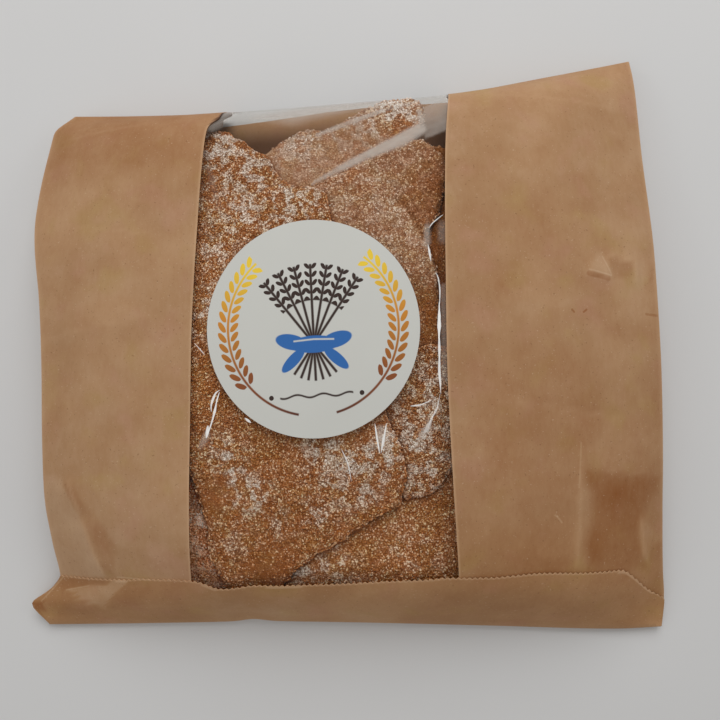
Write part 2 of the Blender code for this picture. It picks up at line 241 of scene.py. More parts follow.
class Finish:
    # a material whose nodes are added one by one
    def __init__(self, name):
        self.material = bpy.data.materials.new(name)
        self.material.use_nodes = True
        self.tree = self.material.node_tree
        self.shader = self.tree.nodes["Principled BSDF"]
        self.end = self.tree.nodes["Material Output"]

    def node(self, kind, settings=None, values=None, output=0):
        made = self.tree.nodes.new(kind)
        for key, value in (settings or {}).items():
            if key == "stops":
                while len(made.color_ramp.elements) < len(value):
                    made.color_ramp.elements.new(0.5)
                for element, (place, colour) in zip(made.color_ramp.elements, value):
                    element.position = place
                    element.color = (*colour, 1.0)
            else:
                setattr(made, key, value)
        for key, value in (values or {}).items():
            self.feed(made.inputs[key], value)
        return Signal(self, made.outputs[output])

    def feed(self, socket, value):
        if isinstance(value, Signal):
            self.tree.links.new(value.socket, socket)
        elif isinstance(value, tuple) and socket.type == "RGBA":
            socket.default_value = (*value, 1.0)
        else:
            socket.default_value = value

    def noise(self, scale, coords=None, output=0, **values):
        # soft noise on object coordinates, scale in features for each metre
        return self.node("ShaderNodeTexNoise", {},
                         {"Scale": scale, "Vector": coords or self.places(), **values}, output)

    def cells(self, scale, coords=None, output=0, feature="F1"):
        return self.node("ShaderNodeTexVoronoi", {"feature": feature},
                         {"Scale": scale, "Vector": coords or self.places()}, output)

    def split(self, colour):
        # the three channels of a colour or vector
        parted = self.tree.nodes.new("ShaderNodeSeparateXYZ")
        self.feed(parted.inputs[0], colour)
        return [Signal(self, socket) for socket in parted.outputs]

    def nudged(self, scale, amount):
        # object coordinates shifted by noise, so that cells get uneven outlines
        shift = self.node("ShaderNodeVectorMath", {"operation": "SCALE"},
                          {0: self.noise(scale, output=1), "Scale": amount})
        return self.node("ShaderNodeVectorMath", {"operation": "ADD"}, {0: self.places(), 1: shift})

    def clamped(self, value):
        return self.node("ShaderNodeClamp", {}, {"Value": value})

    def larger(self, first, second):
        return self.maths("MAXIMUM", first, second)

    def maths(self, operation, first, second=0.0):
        return self.node("ShaderNodeMath", {"operation": operation}, {0: first, 1: second})

    def segment(self, x, y, x0, y0, x1, y1, wide):
        # a thin stroke from one point to another, in the units of x and y
        length = math.hypot(x1 - x0, y1 - y0)
        dx, dy = (x1 - x0) / length, (y1 - y0) / length
        px, py = x - x0, y - y0
        along = self.clamped((px * dx + py * dy) / length) * length
        away = (px - along * dx) ** 2.0 + (py - along * dy) ** 2.0
        return self.soft(away, (wide * 1.4) ** 2, (wide * 0.5) ** 2)

    def places(self):
        if not hasattr(self, "coords"):
            self.coords = self.node("ShaderNodeTexCoord", output=3)
        return self.coords

    def attribute(self, name):
        return self.node("ShaderNodeAttribute", {"attribute_name": name}, output=2)

    def soft(self, value, low, high):
        return self.node("ShaderNodeMapRange", {"interpolation_type": "SMOOTHSTEP"},
                         {"Value": value, "From Min": low, "From Max": high})

    def ramp(self, level, stops):
        return self.node("ShaderNodeValToRGB", {"stops": stops}, {0: level})

    def blendColour(self, share, first, second, kind="MIX"):
        return self.node("ShaderNodeMix", {"data_type": "RGBA", "blend_type": kind},
                         {0: share, 6: first, 7: second}, output=2)

    def bump(self, height, distance, strength):
        return self.node("ShaderNodeBump", {},
                         {"Height": height, "Distance": distance, "Strength": strength})

    def set(self, **values):
        # the shader's sockets, with _ for the spaces in their names
        for key, value in values.items():
            self.feed(self.shader.inputs[key.replace("_", " ")], value)


# The bag's surface, in millimetres: u runs across the front from the left crease to the
# right one, v from the bottom fold to the top fold. Each curve is a list of (v, value), and
# bottomFoldY and flapEdgeV are lists of (u, value)

bagShape = {
    "leftCreaseX": [(0, -122.3), (0.041, -129.4), (0.054, -124.8), (0.094, -115.6), (0.16, -117.6),
                    (0.23, -119.3), (0.30, -119.8), (0.42, -120.8), (0.52, -122.2), (0.61, -124.0),
                    (0.78, -128.7), (0.96, -127.1), (1, -119.2)],
    "rightCreaseX": [(0, 128.2), (0.045, 129.0), (0.1, 126.9), (0.155, 125.5), (0.235, 124.5),
                     (0.31, 124.2), (0.61, 124.1), (0.82, 123.3), (1, 123.5)],
    "leftBackX": [(0, -122.3), (0.041, -129.4), (0.054, -124.8), (0.094, -119.5), (0.18, -120.5),
                  (0.31, -123.5), (0.5, -125.5), (0.8, -128.9), (0.96, -127.3), (1, -119.2)],
    "rightBackX": [(0, 128.2), (0.045, 129.0), (0.12, 127.5), (0.8, 127.5), (1, 123.5)],
    "bottomFoldY": [(0, -119.1), (0.2, -118.2), (0.3, -117.6), (0.335, -116.6), (0.37, -117.4),
                    (0.5, -117.9), (0.72, -119.2), (0.93, -120.6), (1, -119.9)],
    "ridgeZ": [(0, 4.5), (0.03, 15.0), (0.06, 24.0), (0.09, 29.5), (0.16, 35.2), (0.25, 38.2),
               (0.5, 41.0), (0.75, 38.8), (0.86, 35.8), (0.92, 31.5), (0.96, 25.0),
               (0.985, 17.0), (1, 9.0)],
    "leftCreaseZ": [(0, 3.0), (0.04, 4.2), (0.094, 10.0), (0.18, 15.0), (0.28, 20.0),
                    (0.42, 22.0), (0.65, 22.0), (0.8, 18.0), (0.95, 11.0), (1, 9.0)],
    "rightCreaseZ": [(0, 3.0), (0.045, 4.6), (0.1, 10.0), (0.18, 15.5), (0.31, 21.0),
                     (0.46, 23.0), (0.61, 22.0), (0.82, 16.0), (0.95, 12.0), (1, 8.0)],
    "windowLeftX": [(0, -59.0), (0.25, -57.9), (0.5, -57.9), (0.75, -57.1), (0.9, -56.5),
                    (0.922, -56.1), (0.931, -55.2), (0.944, -52.1), (0.97, -51.9), (1, -51.5)],
    "windowRightX": [(0, 43.7), (0.25, 39.1), (0.5, 36.9), (0.70, 37.2), (0.84, 38.1), (0.95, 40.8),
                     (1, 43.2)],
    "topFoldLeftY": 94.9, "topFoldRise": 25.9, "topFoldPower": 2.1, "topNose": 1.8,
    "topFoldDip": (1.2, 0.68, 0.12),  # depth, u of its middle, width
    "flapEdgeV": [(0, 0.095), (0.06, 0.095), (0.13, 0.096), (0.16, 0.100), (0.2, 0.100),
                  (0.243, 0.096), (0.283, 0.0812), (0.305, 0.0822), (0.339, 0.0845),
                  (0.372, 0.0868), (0.454, 0.0925), (0.53, 0.0975), (0.607, 0.1030),
                  (0.632, 0.1065), (0.66, 0.1055), (0.70, 0.1055), (0.73, 0.1085),
                  (0.775, 0.1118), (0.853, 0.1095), (0.917, 0.1085), (0.938, 0.0945),
                  (0.965, 0.0690), (1, 0.046)],
    "crownPower": 3.0, "gussetDepth": 8.0,
}

# Curves with corners, and how far each corner is rounded

sharpCurves = {"leftCreaseX": 0.005, "rightCreaseX": 0.008, "leftBackX": 0.005,
               "rightBackX": 0.008, "bottomFoldY": 0.006, "ridgeZ": 0.012, "flapEdgeV": 0.004,
               "windowLeftX": 0.004}
curve = {name: smoothThrough(stations, sharpCurves.get(name, 0.02))
         for name, stations in bagShape.items() if isinstance(stations, list)}
shiftY = (bagShape["topFoldLeftY"] + bagShape["topFoldRise"] + bagShape["topNose"]
          - bagHigh.y / mm)


def topFoldY(u):
    dip, middle, wide = bagShape["topFoldDip"]
    rise = bagShape["topFoldRise"] * u ** bagShape["topFoldPower"]
    return bagShape["topFoldLeftY"] + rise - dip * np.exp(-((u - middle) / wide) ** 2)


def frontAt(u, v):
    # a point of the smooth front
    left, right = curve["leftCreaseX"](v), curve["rightCreaseX"](v)
    low = curve["bottomFoldY"](u)
    edge = (1 - u) * curve["leftCreaseZ"](v) + u * curve["rightCreaseZ"](v)
    crown = 1 - np.abs(2 * u - 1) ** bagShape["crownPower"]
    x = left + (right - left) * u
    y = low + (topFoldY(u) - low) * v - shiftY
    return x, y, edge + (curve["ridgeZ"](v) - edge) * crown


def acrossOf(x, v):
    left, right = curve["leftCreaseX"](v), curve["rightCreaseX"](v)
    return (x - left) / (right - left)


def uvOf(x, y):
    # the (u, v) of the front under a point
    u = np.full(np.shape(x), 0.5)
    v = np.full(np.shape(x), 0.5)
    for _ in range(14):  # both settle well before that
        low = curve["bottomFoldY"](u)
        v = np.clip((y + shiftY - low) / (topFoldY(u) - low), 0, 1)
        u = np.clip(acrossOf(x, v), 0, 1)
    return u, v


def frontZ(x, y):
    return frontAt(*uvOf(x, y))[2]


# Creases and dents in the paper: each runs from one point to another, its ridge stands
# height up and falls off over the two widths, left and right of its direction

creases = [
    # (x0, y0, x1, y1, height, width left, width right)
    (-108, -60, -102, -74, 0.9, 7, 12),
    (-102, -74, -94, -98, 1.2, 8, 14),
    (92, 20, 103, 18, 0.9, 9, 2.2),
    (101, 27, 113, 25.5, 0.6, 3, 8),
    (114.4, 27, 114, 15, 0.5, 3, 5),
    (88, -55, 124, -59, 0.35, 9, 18),
    (88, -50, 87, -92, 0.5, 7, 4),
    (114, -75, 117, -92, 0.6, 5, 3),
    (-122, 80, -80, 84, 0.35, 9, 7),
    (-118, -5, -72, 2, 0.35, 10, 8),
    (-112, 40, -66, 32, -0.35, 12, 12),
    (50, 96, 118, 92, 0.3, 10, 10),
    (60, -30, 110, -38, -0.35, 13, 12),
]

# Painted shadow where the paper's turned-under edge shows at the window's top left corner

paperCornerShadow = [(-55.3, 80.9), (-53.9, 83.7), (-52.8, 86.2), (-52.3, 90.2), (-50, 90.2),
               (-50, 83.4), (-52, 83.4)]

# Painted light (above 0) and painted shade where the paper's folds, dents and facets catch or miss the
# light: (amount, softness, corners)

paperLightAndShade = [
    (0.5, 0.9, [(-119, -58), (-111, -60), (-103, -73), (-98, -87), (-94, -96), (-94, -98),
                (-114, -100), (-117, -98), (-119, -80), (-120, -73)]),
    (-0.42, 1.1, [(-110, -62), (-107, -61), (-101, -68), (-96, -73), (-90, -81), (-88, -84),
                  (-88, -88), (-90, -97), (-94, -97), (-98, -87), (-103, -73)]),
    (-0.30, 2.0, [(-99, -77), (-94, -77), (-89, -84), (-91, -88), (-94, -87)]),
    (-0.55, 3.0, [(88, -55), (114, -58), (124, -59), (121, -66), (115, -73), (113, -79), (116, -92),
                  (119, -96), (107, -95), (92, -93), (89, -85), (93, -75), (93, -65)]),
    (-0.35, 5.0, [(91, -60), (108, -60), (112, -69), (102, -72), (96, -70)]),
    (0.32, 1.4, [(86, -65), (90, -62), (91, -67), (92, -91), (90, -94), (86, -93), (85, -84)]),
    (-0.30, 3.0, [(64, -39), (70, -39), (71, -44), (66, -43)]),
    (0.5, 1.1, [(114, -75), (118, -78), (122, -82), (126, -82), (126, -85), (119, -87), (119, -94),
                (116, -90), (113, -82)]),
    (-0.35, 4.0, [(68, -84), (78, -81), (84, -85), (84, -92), (68, -94), (62, -90)]),
    (0.5, 1.2, [(98.5, 28.4), (100.4, 24.2), (103.1, 19.7), (101.9, 18.2), (98.7, 19.0),
                (95.9, 20.2), (93.1, 20.7), (95.4, 23.8)]),
    (-0.45, 1.3, [(101, 27), (106, 25), (113, 25), (113, 20), (110, 18), (105, 18), (103, 20)]),
    (0.28, 1.6, [(114, 25), (120, 24), (120, 18), (116, 14), (113, 17)]),
    (-0.30, 3.0, [(97, 13), (103, 13), (106, 7), (104, 3), (95, 3)]),
    (-0.35, 5.0, [(100, 0), (117, 1), (122, -2), (123, -7), (108, -8), (99, -4)]),
    (0.20, 5.0, [(110, 38), (123, 41), (123, 28), (114, 26), (110, 30)]),
    (-0.40, 0.9, [(120, 18), (123, 24), (123, 19), (120, 17)]),
    # broad, soft painted light and shade over whole stretches of the bag
    (-0.66, 14.0, [(-135, 60), (-50, 60), (-50, 100), (-135, 100)]),
    (-0.20, 12.0, [(45, 50), (95, 50), (95, 10), (45, 10)]),
    (0.25, 8.0, [(96, -8), (120, -8), (120, -50), (96, -50)]),
    (-0.45, 18.0, [(45, -5), (135, -15), (135, -110), (45, -110)]),
    (0.16, 12.0, [(-110, -45), (-56, -45), (-56, -95), (-95, -95)]),
]
# Painted light and shade on the flap's folds and facets, darkest at its left tip
flapLightAndShade = [
    (-0.30, 0.6, [(-114, -100), (-94, -99), (-93, -100), (-102, -102), (-114, -105), (-118, -104)]),
    (0.75, 0.5, [(-112.7, -104.9), (-101.8, -102.2), (-93.6, -101.5), (-89, -97), (-84, -98),
                 (-85, -100), (-90, -104), (-94, -108), (-96, -111), (-99, -111), (-107, -108),
                 (-109, -106)]),
    (-0.35, 2.5, [(-85, -101), (-75, -101), (-80, -109), (-94, -112), (-89, -105)]),
    (-0.25, 2.5, [(-122, -110), (-110, -108), (-104, -111), (-97, -113), (-105, -116), (-118, -117)]),
    (-0.9, 0.5, [(-124.3, -110), (-130, -111), (-126, -116), (-123, -114)]),
]


def insideArea(x, y, corners, soft):
    # 1 inside an area, falling to 0 across its edge
    near = np.full(np.shape(x), farOff)
    inside = np.zeros(np.shape(x), bool)
    for (x0, y0), (x1, y1) in zip(corners, corners[1:] + corners[:1]):
        near = np.minimum(near, alongLine(x, y, x0, y0, x1, y1)[1])
        if y0 != y1:
            inside ^= ((y0 > y) != (y1 > y)) & (x < x0 + (y - y0) * (x1 - x0) / (y1 - y0))
    return softStep(np.where(inside, near, -near), -soft, soft)


def patchField(x, y, patches):
    field = np.zeros(np.shape(x))
    for amount, soft, corners in patches:
        field += amount * insideArea(x, y, corners, soft)
    return field


creaseShape = {"roundness": 0.3, "slope": (0.55, 0.45), "ends": (-0.12, 0.25), "rubWidth": 0.8}
paperWaves = [(0.50, 46, 3.1), (0.22, 19, 7.7), (0.05, 6, 1.3)]  # (height, size, seed)
paperBillow = {"height": 0.4, "length": 82, "startY": 7}  # level waves left of the window
paperEase = {"crease": 0.03, "end": 0.05}  # the relief calms down towards the folds


def creaseField(x, y):
    # height of all creases at a point, and how near the closest ridge is
    height = np.zeros(np.shape(x))
    rub = np.zeros(np.shape(x))
    foot, steep = creaseShape["slope"]
    for x0, y0, x1, y1, rise, wideLeft, wideRight in creases:
        length = math.hypot(x1 - x0, y1 - y0)
        dx, dy = (x1 - x0) / length, (y1 - y0) / length
        along = ((x - x0) * dx + (y - y0) * dy) / length
        aside = (y - y0) * dx - (x - x0) * dy
        wide = np.where(aside > 0, wideLeft, wideRight)
        tent = np.clip(1 - np.sqrt(aside ** 2 + creaseShape["roundness"]) / wide, 0, 1)
        tent = tent * (foot + steep * tent)
        fade = awayFromEnds(along, *creaseShape["ends"])
        height += rise * tent * fade
        worn = np.exp(-(aside / creaseShape["rubWidth"]) ** 2)
        rub = np.maximum(rub, worn * fade * min(1, abs(rise)))
    return height, rub


def paperRelief(x, y):
    height, rub = creaseField(x, y)
    phase = 2 * np.pi * (y - paperBillow["startY"]) / paperBillow["length"]
    waves = lumps(x, y, paperWaves) + paperBillow["height"] * np.cos(phase) * (x < 0)
    return height + waves, rub


# Kraft paper bag

paperParts = {"columnsLeft": 60, "columnsRight": 86, "rows": 148, "noseRows": 8, "underRows": 20,
              "underLength": 44.0, "underZ": 0.3, "underTilt": math.radians(7),
              "toothDepth": 0.55, "sheetThick": 0.22, "weldWithin": 0.04, "curl": 0.5,
              "noseReach": 2.6, "noseStart": math.radians(42), "drawBack": 5.0,
              "frontLength": 235, "smoothBelow": math.radians(38)}


def rowShares(count):
    # v for each row, closer together near both ends
    t = np.linspace(0, 1, count + 1)
    return t - 0.35 * np.sin(2 * np.pi * t) / (2 * np.pi)


def overFold(row, rows, nose, front, fold, under):
    # each row's points: on the front, round the fold, or on the part folded under
    return [np.where(row > rows + nose, below, np.where(row > rows, turned, level))
            for level, turned, below in zip(front, fold, under)]


def aroundFold(u, turn, lift=0.0, reach=0.0):
    # a point on the rounded top fold: turn runs 0..1 from the front round to the underside
    x, y, z = frontAt(u, np.ones_like(u))
    start = paperParts["noseStart"]
    angle = start + (math.pi - start) * turn
    low = paperParts["underZ"] - lift
    half = (z - low) / (1 + math.cos(start))
    depth = paperParts["noseReach"] + lift + reach
    out = depth * (np.sin(angle) - math.sin(start) * (1 - turn))
    return x, y + out, z + lift * (1 - turn) - half * (math.cos(start) - np.cos(angle))


def underFold(u, run, lift=0.0):
    # a point of the folded-over top, under the back: run is its distance from the fold
    x, y, z = aroundFold(u, np.ones_like(u), lift)
    tilt = paperParts["underTilt"] * (0.3 + 1.2 * u)
    return x - run * np.sin(tilt) * 0.9, y - run * np.cos(tilt), z


def paperStrip(name, side):
    # one half of the front with its share of the folded-over top
    columns = paperParts["columnsLeft"] if side < 0 else paperParts["columnsRight"]
    rows, nose, under = (paperParts[key] for key in ("rows", "noseRows", "underRows"))
    total = rows + nose + under
    shares = rowShares(rows)

    def place(s, t):
        row = np.rint(t * total).astype(int)
        v = shares[np.clip(row, 0, rows)]
        if side < 0:
            u = s * acrossOf(curve["windowLeftX"](v), v)
        else:
            inner = acrossOf(curve["windowRightX"](v), v)
            u = inner + (1 - inner) * s
        x, y, z = frontAt(u, v)
        relief, _ = paperRelief(x, y)
        atCrease = softStep(np.minimum(u, 1 - u), 0.0, paperEase["crease"])
        atEnd = awayFromEnds(v, 0.0, paperEase["end"])
        inward = s if side < 0 else 1 - s
        # the cut edge beside the window curls up unevenly
        uneven = 0.4 + 0.6 * lump(x, y, 30, 5.5) ** 2
        curl = paperParts["curl"] * softStep(inward, 0.93, 1.0) * uneven
        z = z + relief * atCrease * atEnd + curl * atEnd
        turn = np.clip((row - rows) / nose, 0, 1)
        drawn = side * paperParts["drawBack"] * inward * softStep(turn, 0.4, 0.85)
        foldX, foldY, foldZ = aroundFold(u, turn)
        run = np.clip(row - rows - nose, 0, under) / under * paperParts["underLength"]
        tooth = np.where(row == total, (np.rint(s * columns) % 2) * paperParts["toothDepth"], 0)
        underX, underY, underZ = underFold(u, run + tooth)
        fold, below = (foldX + drawn, foldY, foldZ), (underX + drawn, underY, underZ)
        return overFold(row, rows, nose, (x, y, z), fold, below)

    return gridSheet(name, columns, total, place)


backParts = {"gussetColumns": 6, "backColumns": 60, "seamX": 14.0, "seamWidth": 13.0,
             "seamStep": 0.3, "clearOfFlap": 0.75, "gussetLeast": 0.4,
             "restZ": 0.4, "lowestZ": 0.12, "sag": [(0.25, 37, 9.2)],
             # how far the back's top edge stands off its fold behind the window
             "windowTop": [(-67, 0), (-62, -3.1), (-51, -2.2), (-10, 1.3), (12, 1.7), (44, 0.6),
                           (50, 0)]}


def paperBack():
    # both gussets and the back, as one sheet from the right crease round to the left one
    gusset, back = backParts["gussetColumns"], backParts["backColumns"]
    rows = paperParts["rows"]
    total = 4 * gusset + back
    shares = rowShares(rows)
    restZ, least = backParts["restZ"], backParts["gussetLeast"]

    def place(s, t):
        column = np.rint(s * total).astype(int)
        v = shares[np.rint(t * rows).astype(int)]
        result = np.zeros((3, len(s)))
        deeper = (bagShape["gussetDepth"] - least) * softStep(v, 0, 0.12) * softStep(1 - v, 0, 0.1)
        depth = least + deeper
        for side, u, first in ((1, 1.0, 0), (-1, 0.0, 2 * gusset + back)):
            front = frontAt(np.full_like(v, u), v)
            backX = curve["rightBackX" if side > 0 else "leftBackX"](v)
            valley = (0.5 * (front[0] + backX) - side * depth, front[1], 0.5 * front[2])
            low = (backX, front[1], np.full_like(v, restZ))
            start, valley, end = np.array([front, valley, low][::side])
            share = (column - first) / gusset
            here = (share >= 0) & (share <= 2)
            nearer = start + (valley - start) * np.clip(share, 0, 1)
            further = valley + (end - valley) * np.clip(share - 1, 0, 1)
            result = np.where(here, np.where(share <= 1, nearer, further), result)
        share = (column - 2 * gusset) / back
        here = (share > 0) & (share < 1)
        u = 1 - np.clip(share, 0, 1)
        x = (1 - u) * curve["leftBackX"](v) + u * curve["rightBackX"](v)
        low = curve["bottomFoldY"](u)
        y = low + (topFoldY(u) - low) * v - shiftY
        run = topFoldY(u) - shiftY - y
        y = y + np.interp(x, *zip(*backParts["windowTop"])) * softStep(v, 0.93, 1)
        overFlap = softStep(paperParts["underLength"] + 7 - run, 0, 6)
        lap = softStep(x, backParts["seamX"], backParts["seamX"] + 0.8)
        lap = lap * softStep(backParts["seamX"] + backParts["seamWidth"] - x, 0, 4)
        sag = restZ + lumps(x, y, backParts["sag"]) - backParts["seamStep"] * lap
        z = np.maximum(sag, backParts["lowestZ"]) + backParts["clearOfFlap"] * overFlap
        return np.where(here, (x, y, z), result)

    return gridSheet("bagBack", total, rows, place)


# How the paper's tone changes over the bag: wear, mottle, and painted light and shade

paperWearAndShade = {"creaseWidth": 0.004, "crease": 0.6, "edgeWidth": 0.35, "edge": 0.9,
             "underFlapShadow": -0.3, "cloud": [(0.22, 17, 21.0), (0.16, 9, 25.0)],
             "insideShadeLeast": 0.10, "insideShadeMore": 0.75, "warm": 0.9}


def makeBag():
    strips = [paperStrip("bagLeft", -1), paperStrip("bagRight", 1)]
    bag = joined("kraftBag", [*strips, paperBack()])
    weld(bag, paperParts["weldWithin"])
    count = len(bag.data.vertices)
    applied(bag, "SOLIDIFY", thickness=paperParts["sheetThick"] * mm, offset=-1.0)
    x, y, z = readPoints(bag).T / mm
    u, v = uvOf(x, y)
    upper = z > 2
    # rubbed pale along the creases and the window's cut edges
    rub = paperRelief(x, y)[1] * paperWearAndShade["crease"]
    nearCrease = np.exp(-(np.minimum(u, 1 - u) / paperWearAndShade["creaseWidth"]) ** 2)
    nearWindow = np.minimum(abs(x - curve["windowLeftX"](v)), abs(x - curve["windowRightX"](v)))
    edge = paperWearAndShade["edge"] * (nearWindow < paperWearAndShade["edgeWidth"])
    rub = np.maximum(np.maximum(rub, paperWearAndShade["crease"] * nearCrease), edge)
    paintPoints(bag, "rub", rub * upper)
    # painted shadow close above the right half of the flap's edge
    aboveFlap = (v - curve["flapEdgeV"](u)) * paperParts["frontLength"]
    flapEdgeShadow = paperWearAndShade["underFlapShadow"] * softStep(2.0 - aboveFlap, 0, 1.6) * softStep(u, 0.35, 0.6)
    cloud = lumps(x, y, paperWearAndShade["cloud"])
    # painted light and shade over the paper: the patches and this shadow, with the paper's own mottle
    paintPoints(bag, "shade", (patchField(x, y, paperLightAndShade) + flapEdgeShadow + cloud) * upper)
    # painted shade on the back panel's inner side, seen through the window: darker away from the top
    # fold, deeper in the bag
    inner = (np.arange(len(x)) >= count) & (z < 4)
    run = topFoldY(u) - shiftY - y
    inner = inner * (paperWearAndShade["insideShadeLeast"] + paperWearAndShade["insideShadeMore"] * softStep(run, 0.5, 13))
    # painted shadow at the window's top left corner, in the same dark tone as the bag's inside
    cornerShadow = insideArea(x, y, paperCornerShadow, 0.25) * upper
    paintPoints(bag, "inner", np.maximum(inner, cornerShadow))
    # painted shade: the paper low on the right, turned from the light, is deeper and warmer
    warm = paperWearAndShade["warm"] * softStep(0.24 - v, 0, 0.12) * softStep(u, 0.5, 0.7)
    paintPoints(bag, "warm", warm)
    bpy.ops.object.shade_smooth_by_angle(angle=paperParts["smoothBelow"])
    return bag


flapParts = {"columns": 236, "frontRows": 14, "noseRows": 4, "backRows": 4, "lift": 0.5,
             "tuck": 5.0, "toothDepth": 0.75, "alongFront": 230, "below": 0.1, "forward": 0.25,
             "noseReach": 0.55, "thick": 0.3, "wave": 0.10, "edgeWave": 0.0012,
             # shade darkens the whole flap as painted shade, since it faces away from the light
             "shade": -0.28, "cloud": [(0.22, 15, 41.0)],
             # painted light on a stretch of the flap: amount, softness and corners
             "paintedLightAmount": 0.42, "paintedLightSoft": 9.0,
             "paintedLightCorners": [(-60, -104), (20, -104), (20, -120), (-60, -120)]}


def makeFlap():
    # the glued bottom flap: round the bottom fold and up over the front, with a toothed edge
    back, nose, front = (flapParts[key] for key in ("backRows", "noseRows", "frontRows"))
    rows = back + nose + front
    columns = flapParts["columns"]
    below, forward = flapParts["below"], flapParts["forward"]

    def place(s, t):
        row = np.rint(t * rows).astype(int)
        tooth = (np.rint(s * columns).astype(int) % 2) * flapParts["toothDepth"]
        tooth = tooth / flapParts["alongFront"]
        # the rows get closer towards the toothed edge
        left = 1 - np.clip((row - back - nose) / front, 0, 1)
        climb = 1 - left ** 1.6
        edge = flapParts["edgeWave"] * lump(s * 250, 0 * s, 21, 4.4)
        v = climb * (curve["flapEdgeV"](s) + edge) + np.where(row == rows, tooth, 0)
        x, y, z = frontAt(s, v)
        wave = flapParts["wave"] * lump(x, y, 9, 6.1)
        lift = flapParts["lift"] * (0.45 + 0.55 * softStep(s, 0.3, 0.5))
        atCrease = softStep(np.minimum(s, 1 - s), 0, paperEase["crease"])
        glued = paperRelief(x, y)[0] * softStep(v, 0.0, paperEase["end"]) * atCrease
        z = z + lift + (wave + 0.1) * softStep(climb, 0, 0.3) + glued
        y = y - forward
        _, foldY, foldZ = frontAt(s, np.zeros_like(s))
        angle = math.pi * np.clip((row - back) / nose, 0, 1)
        half = (foldZ + lift - below) / 2
        noseY = foldY - forward - flapParts["noseReach"] * np.sin(angle)
        noseZ = below + half * (1 - np.cos(angle))
        tuck = flapParts["tuck"] * (1 - np.clip(row / back, 0, 1))
        onBack, onNose = row <= back, row <= back + nose
        y = np.where(onBack, foldY - forward + tuck, np.where(onNose, noseY, y))
        z = np.where(onBack, below, np.where(onNose, noseZ, z))
        return x, y, z

    flap = gridSheet("bottomFlap", columns, rows, place)
    x, y, z = readPoints(flap).T / mm
    u, v = uvOf(x, y)
    upper = z > 1
    cutEdge = v > curve["flapEdgeV"](u) - 0.002
    paintPoints(flap, "rub", (0.25 * np.exp(-(v / 0.006) ** 2) + 1.0 * cutEdge) * upper)
    # painted shade: the whole flap, turned from the light, gets the deeper, warmer tint
    paintPoints(flap, "warm", np.ones(len(x)))
    # painted shade over the flap, painted light on a stretch of it and near the bottom fold, and its
    # own mottle
    pale = insideArea(x, y, flapParts["paintedLightCorners"], flapParts["paintedLightSoft"])
    deep = flapParts["shade"] + flapParts["paintedLightAmount"] * pale
    deep = deep + lumps(x, y, flapParts["cloud"]) + 0.10 * softStep(0.05 - v, 0, 0.04)
    paintPoints(flap, "shade", (patchField(x, y, flapLightAndShade) + deep) * upper)
    applied(flap, "SOLIDIFY", thickness=flapParts["thick"] * mm, offset=-1.0)
    bpy.ops.object.shade_smooth_by_angle(angle=paperParts["smoothBelow"])
    return flap


# Window film

filmParts = {"columns": 148, "rows": 196, "noseRows": 12, "underRows": 14, "drop": 0.32,
             "margin": 5.0, "thick": 0.05, "lowV": 0.055,
             "waves": [(0.25, 24, 11.0), (0.10, 8, 13.0)], "bandHeight": 0.7,
             "loop": 2.2, "streak": 0.25, "smoothBelow": math.radians(60)}

# Bands of painted glare on the film, partly its own haze where it lies doubled or stretched: (x0, y0,
# x1, y1, half width at each end, whiteness), and areas of painted glare (whiteness, softness, corners)

filmBands = [
    (-12, 74, 3, 81, 0.7, 1.2, 0.32), (3, 81, 14, 86.5, 1.2, 1.0, 0.40),
    (14, 86.5, 27, 91.5, 1.0, 0.8, 0.14), (-13, 53, -3, 59, 0.5, 1.1, 0.36),
    (-3, 59, 9, 65.5, 1.1, 1.6, 0.55), (9, 65.5, 21, 71.5, 1.6, 2.5, 0.62),
    (21, 71.5, 28.5, 76.5, 2.5, 2.4, 0.60), (28.5, 86, 30, 76, 0.8, 1.3, 0.42),
    (30.4, 36, 30.2, 28.9, 0.9, 1.2, 0.26),
    (36.2, 36, 36.4, 31, 1.6, 1.8, 0.12), (36.2, 12, 36.0, -22, 1.1, 1.1, 0.13),
    (30.5, -38.5, 27.5, -43.5, 0.7, 1.3, 0.26), (-51.5, -43, -53.5, -47, 1.2, 1.0, 0.22),
    (12.5, -41, 12.4, -48, 1.4, 0.6, 0.26), (-54, 60, -48, 40, 1.0, 1.0, 0.05),
]
glareAndHazeAreas = [
    (0.26, 0.6, [(30.5, 88), (42, 95), (41, 77.3), (38, 75.8), (34, 73.7), (30.5, 72.3), (29, 77)]),
    (0.30, 3.5, [(-22, 80), (-3, 86), (13, 91), (15, 96), (-20, 90), (-38, 84)]),
    (0.20, 1.6, [(-58, 92), (-48, 98), (-47, 90), (-50.5, 79.5), (-54, 77.5), (-58, 79)]),
]

# Sharp wrinkles of the film as narrow raised ribbons, painted white as highlights where they would
# catch the light: (width, whiteness, points)

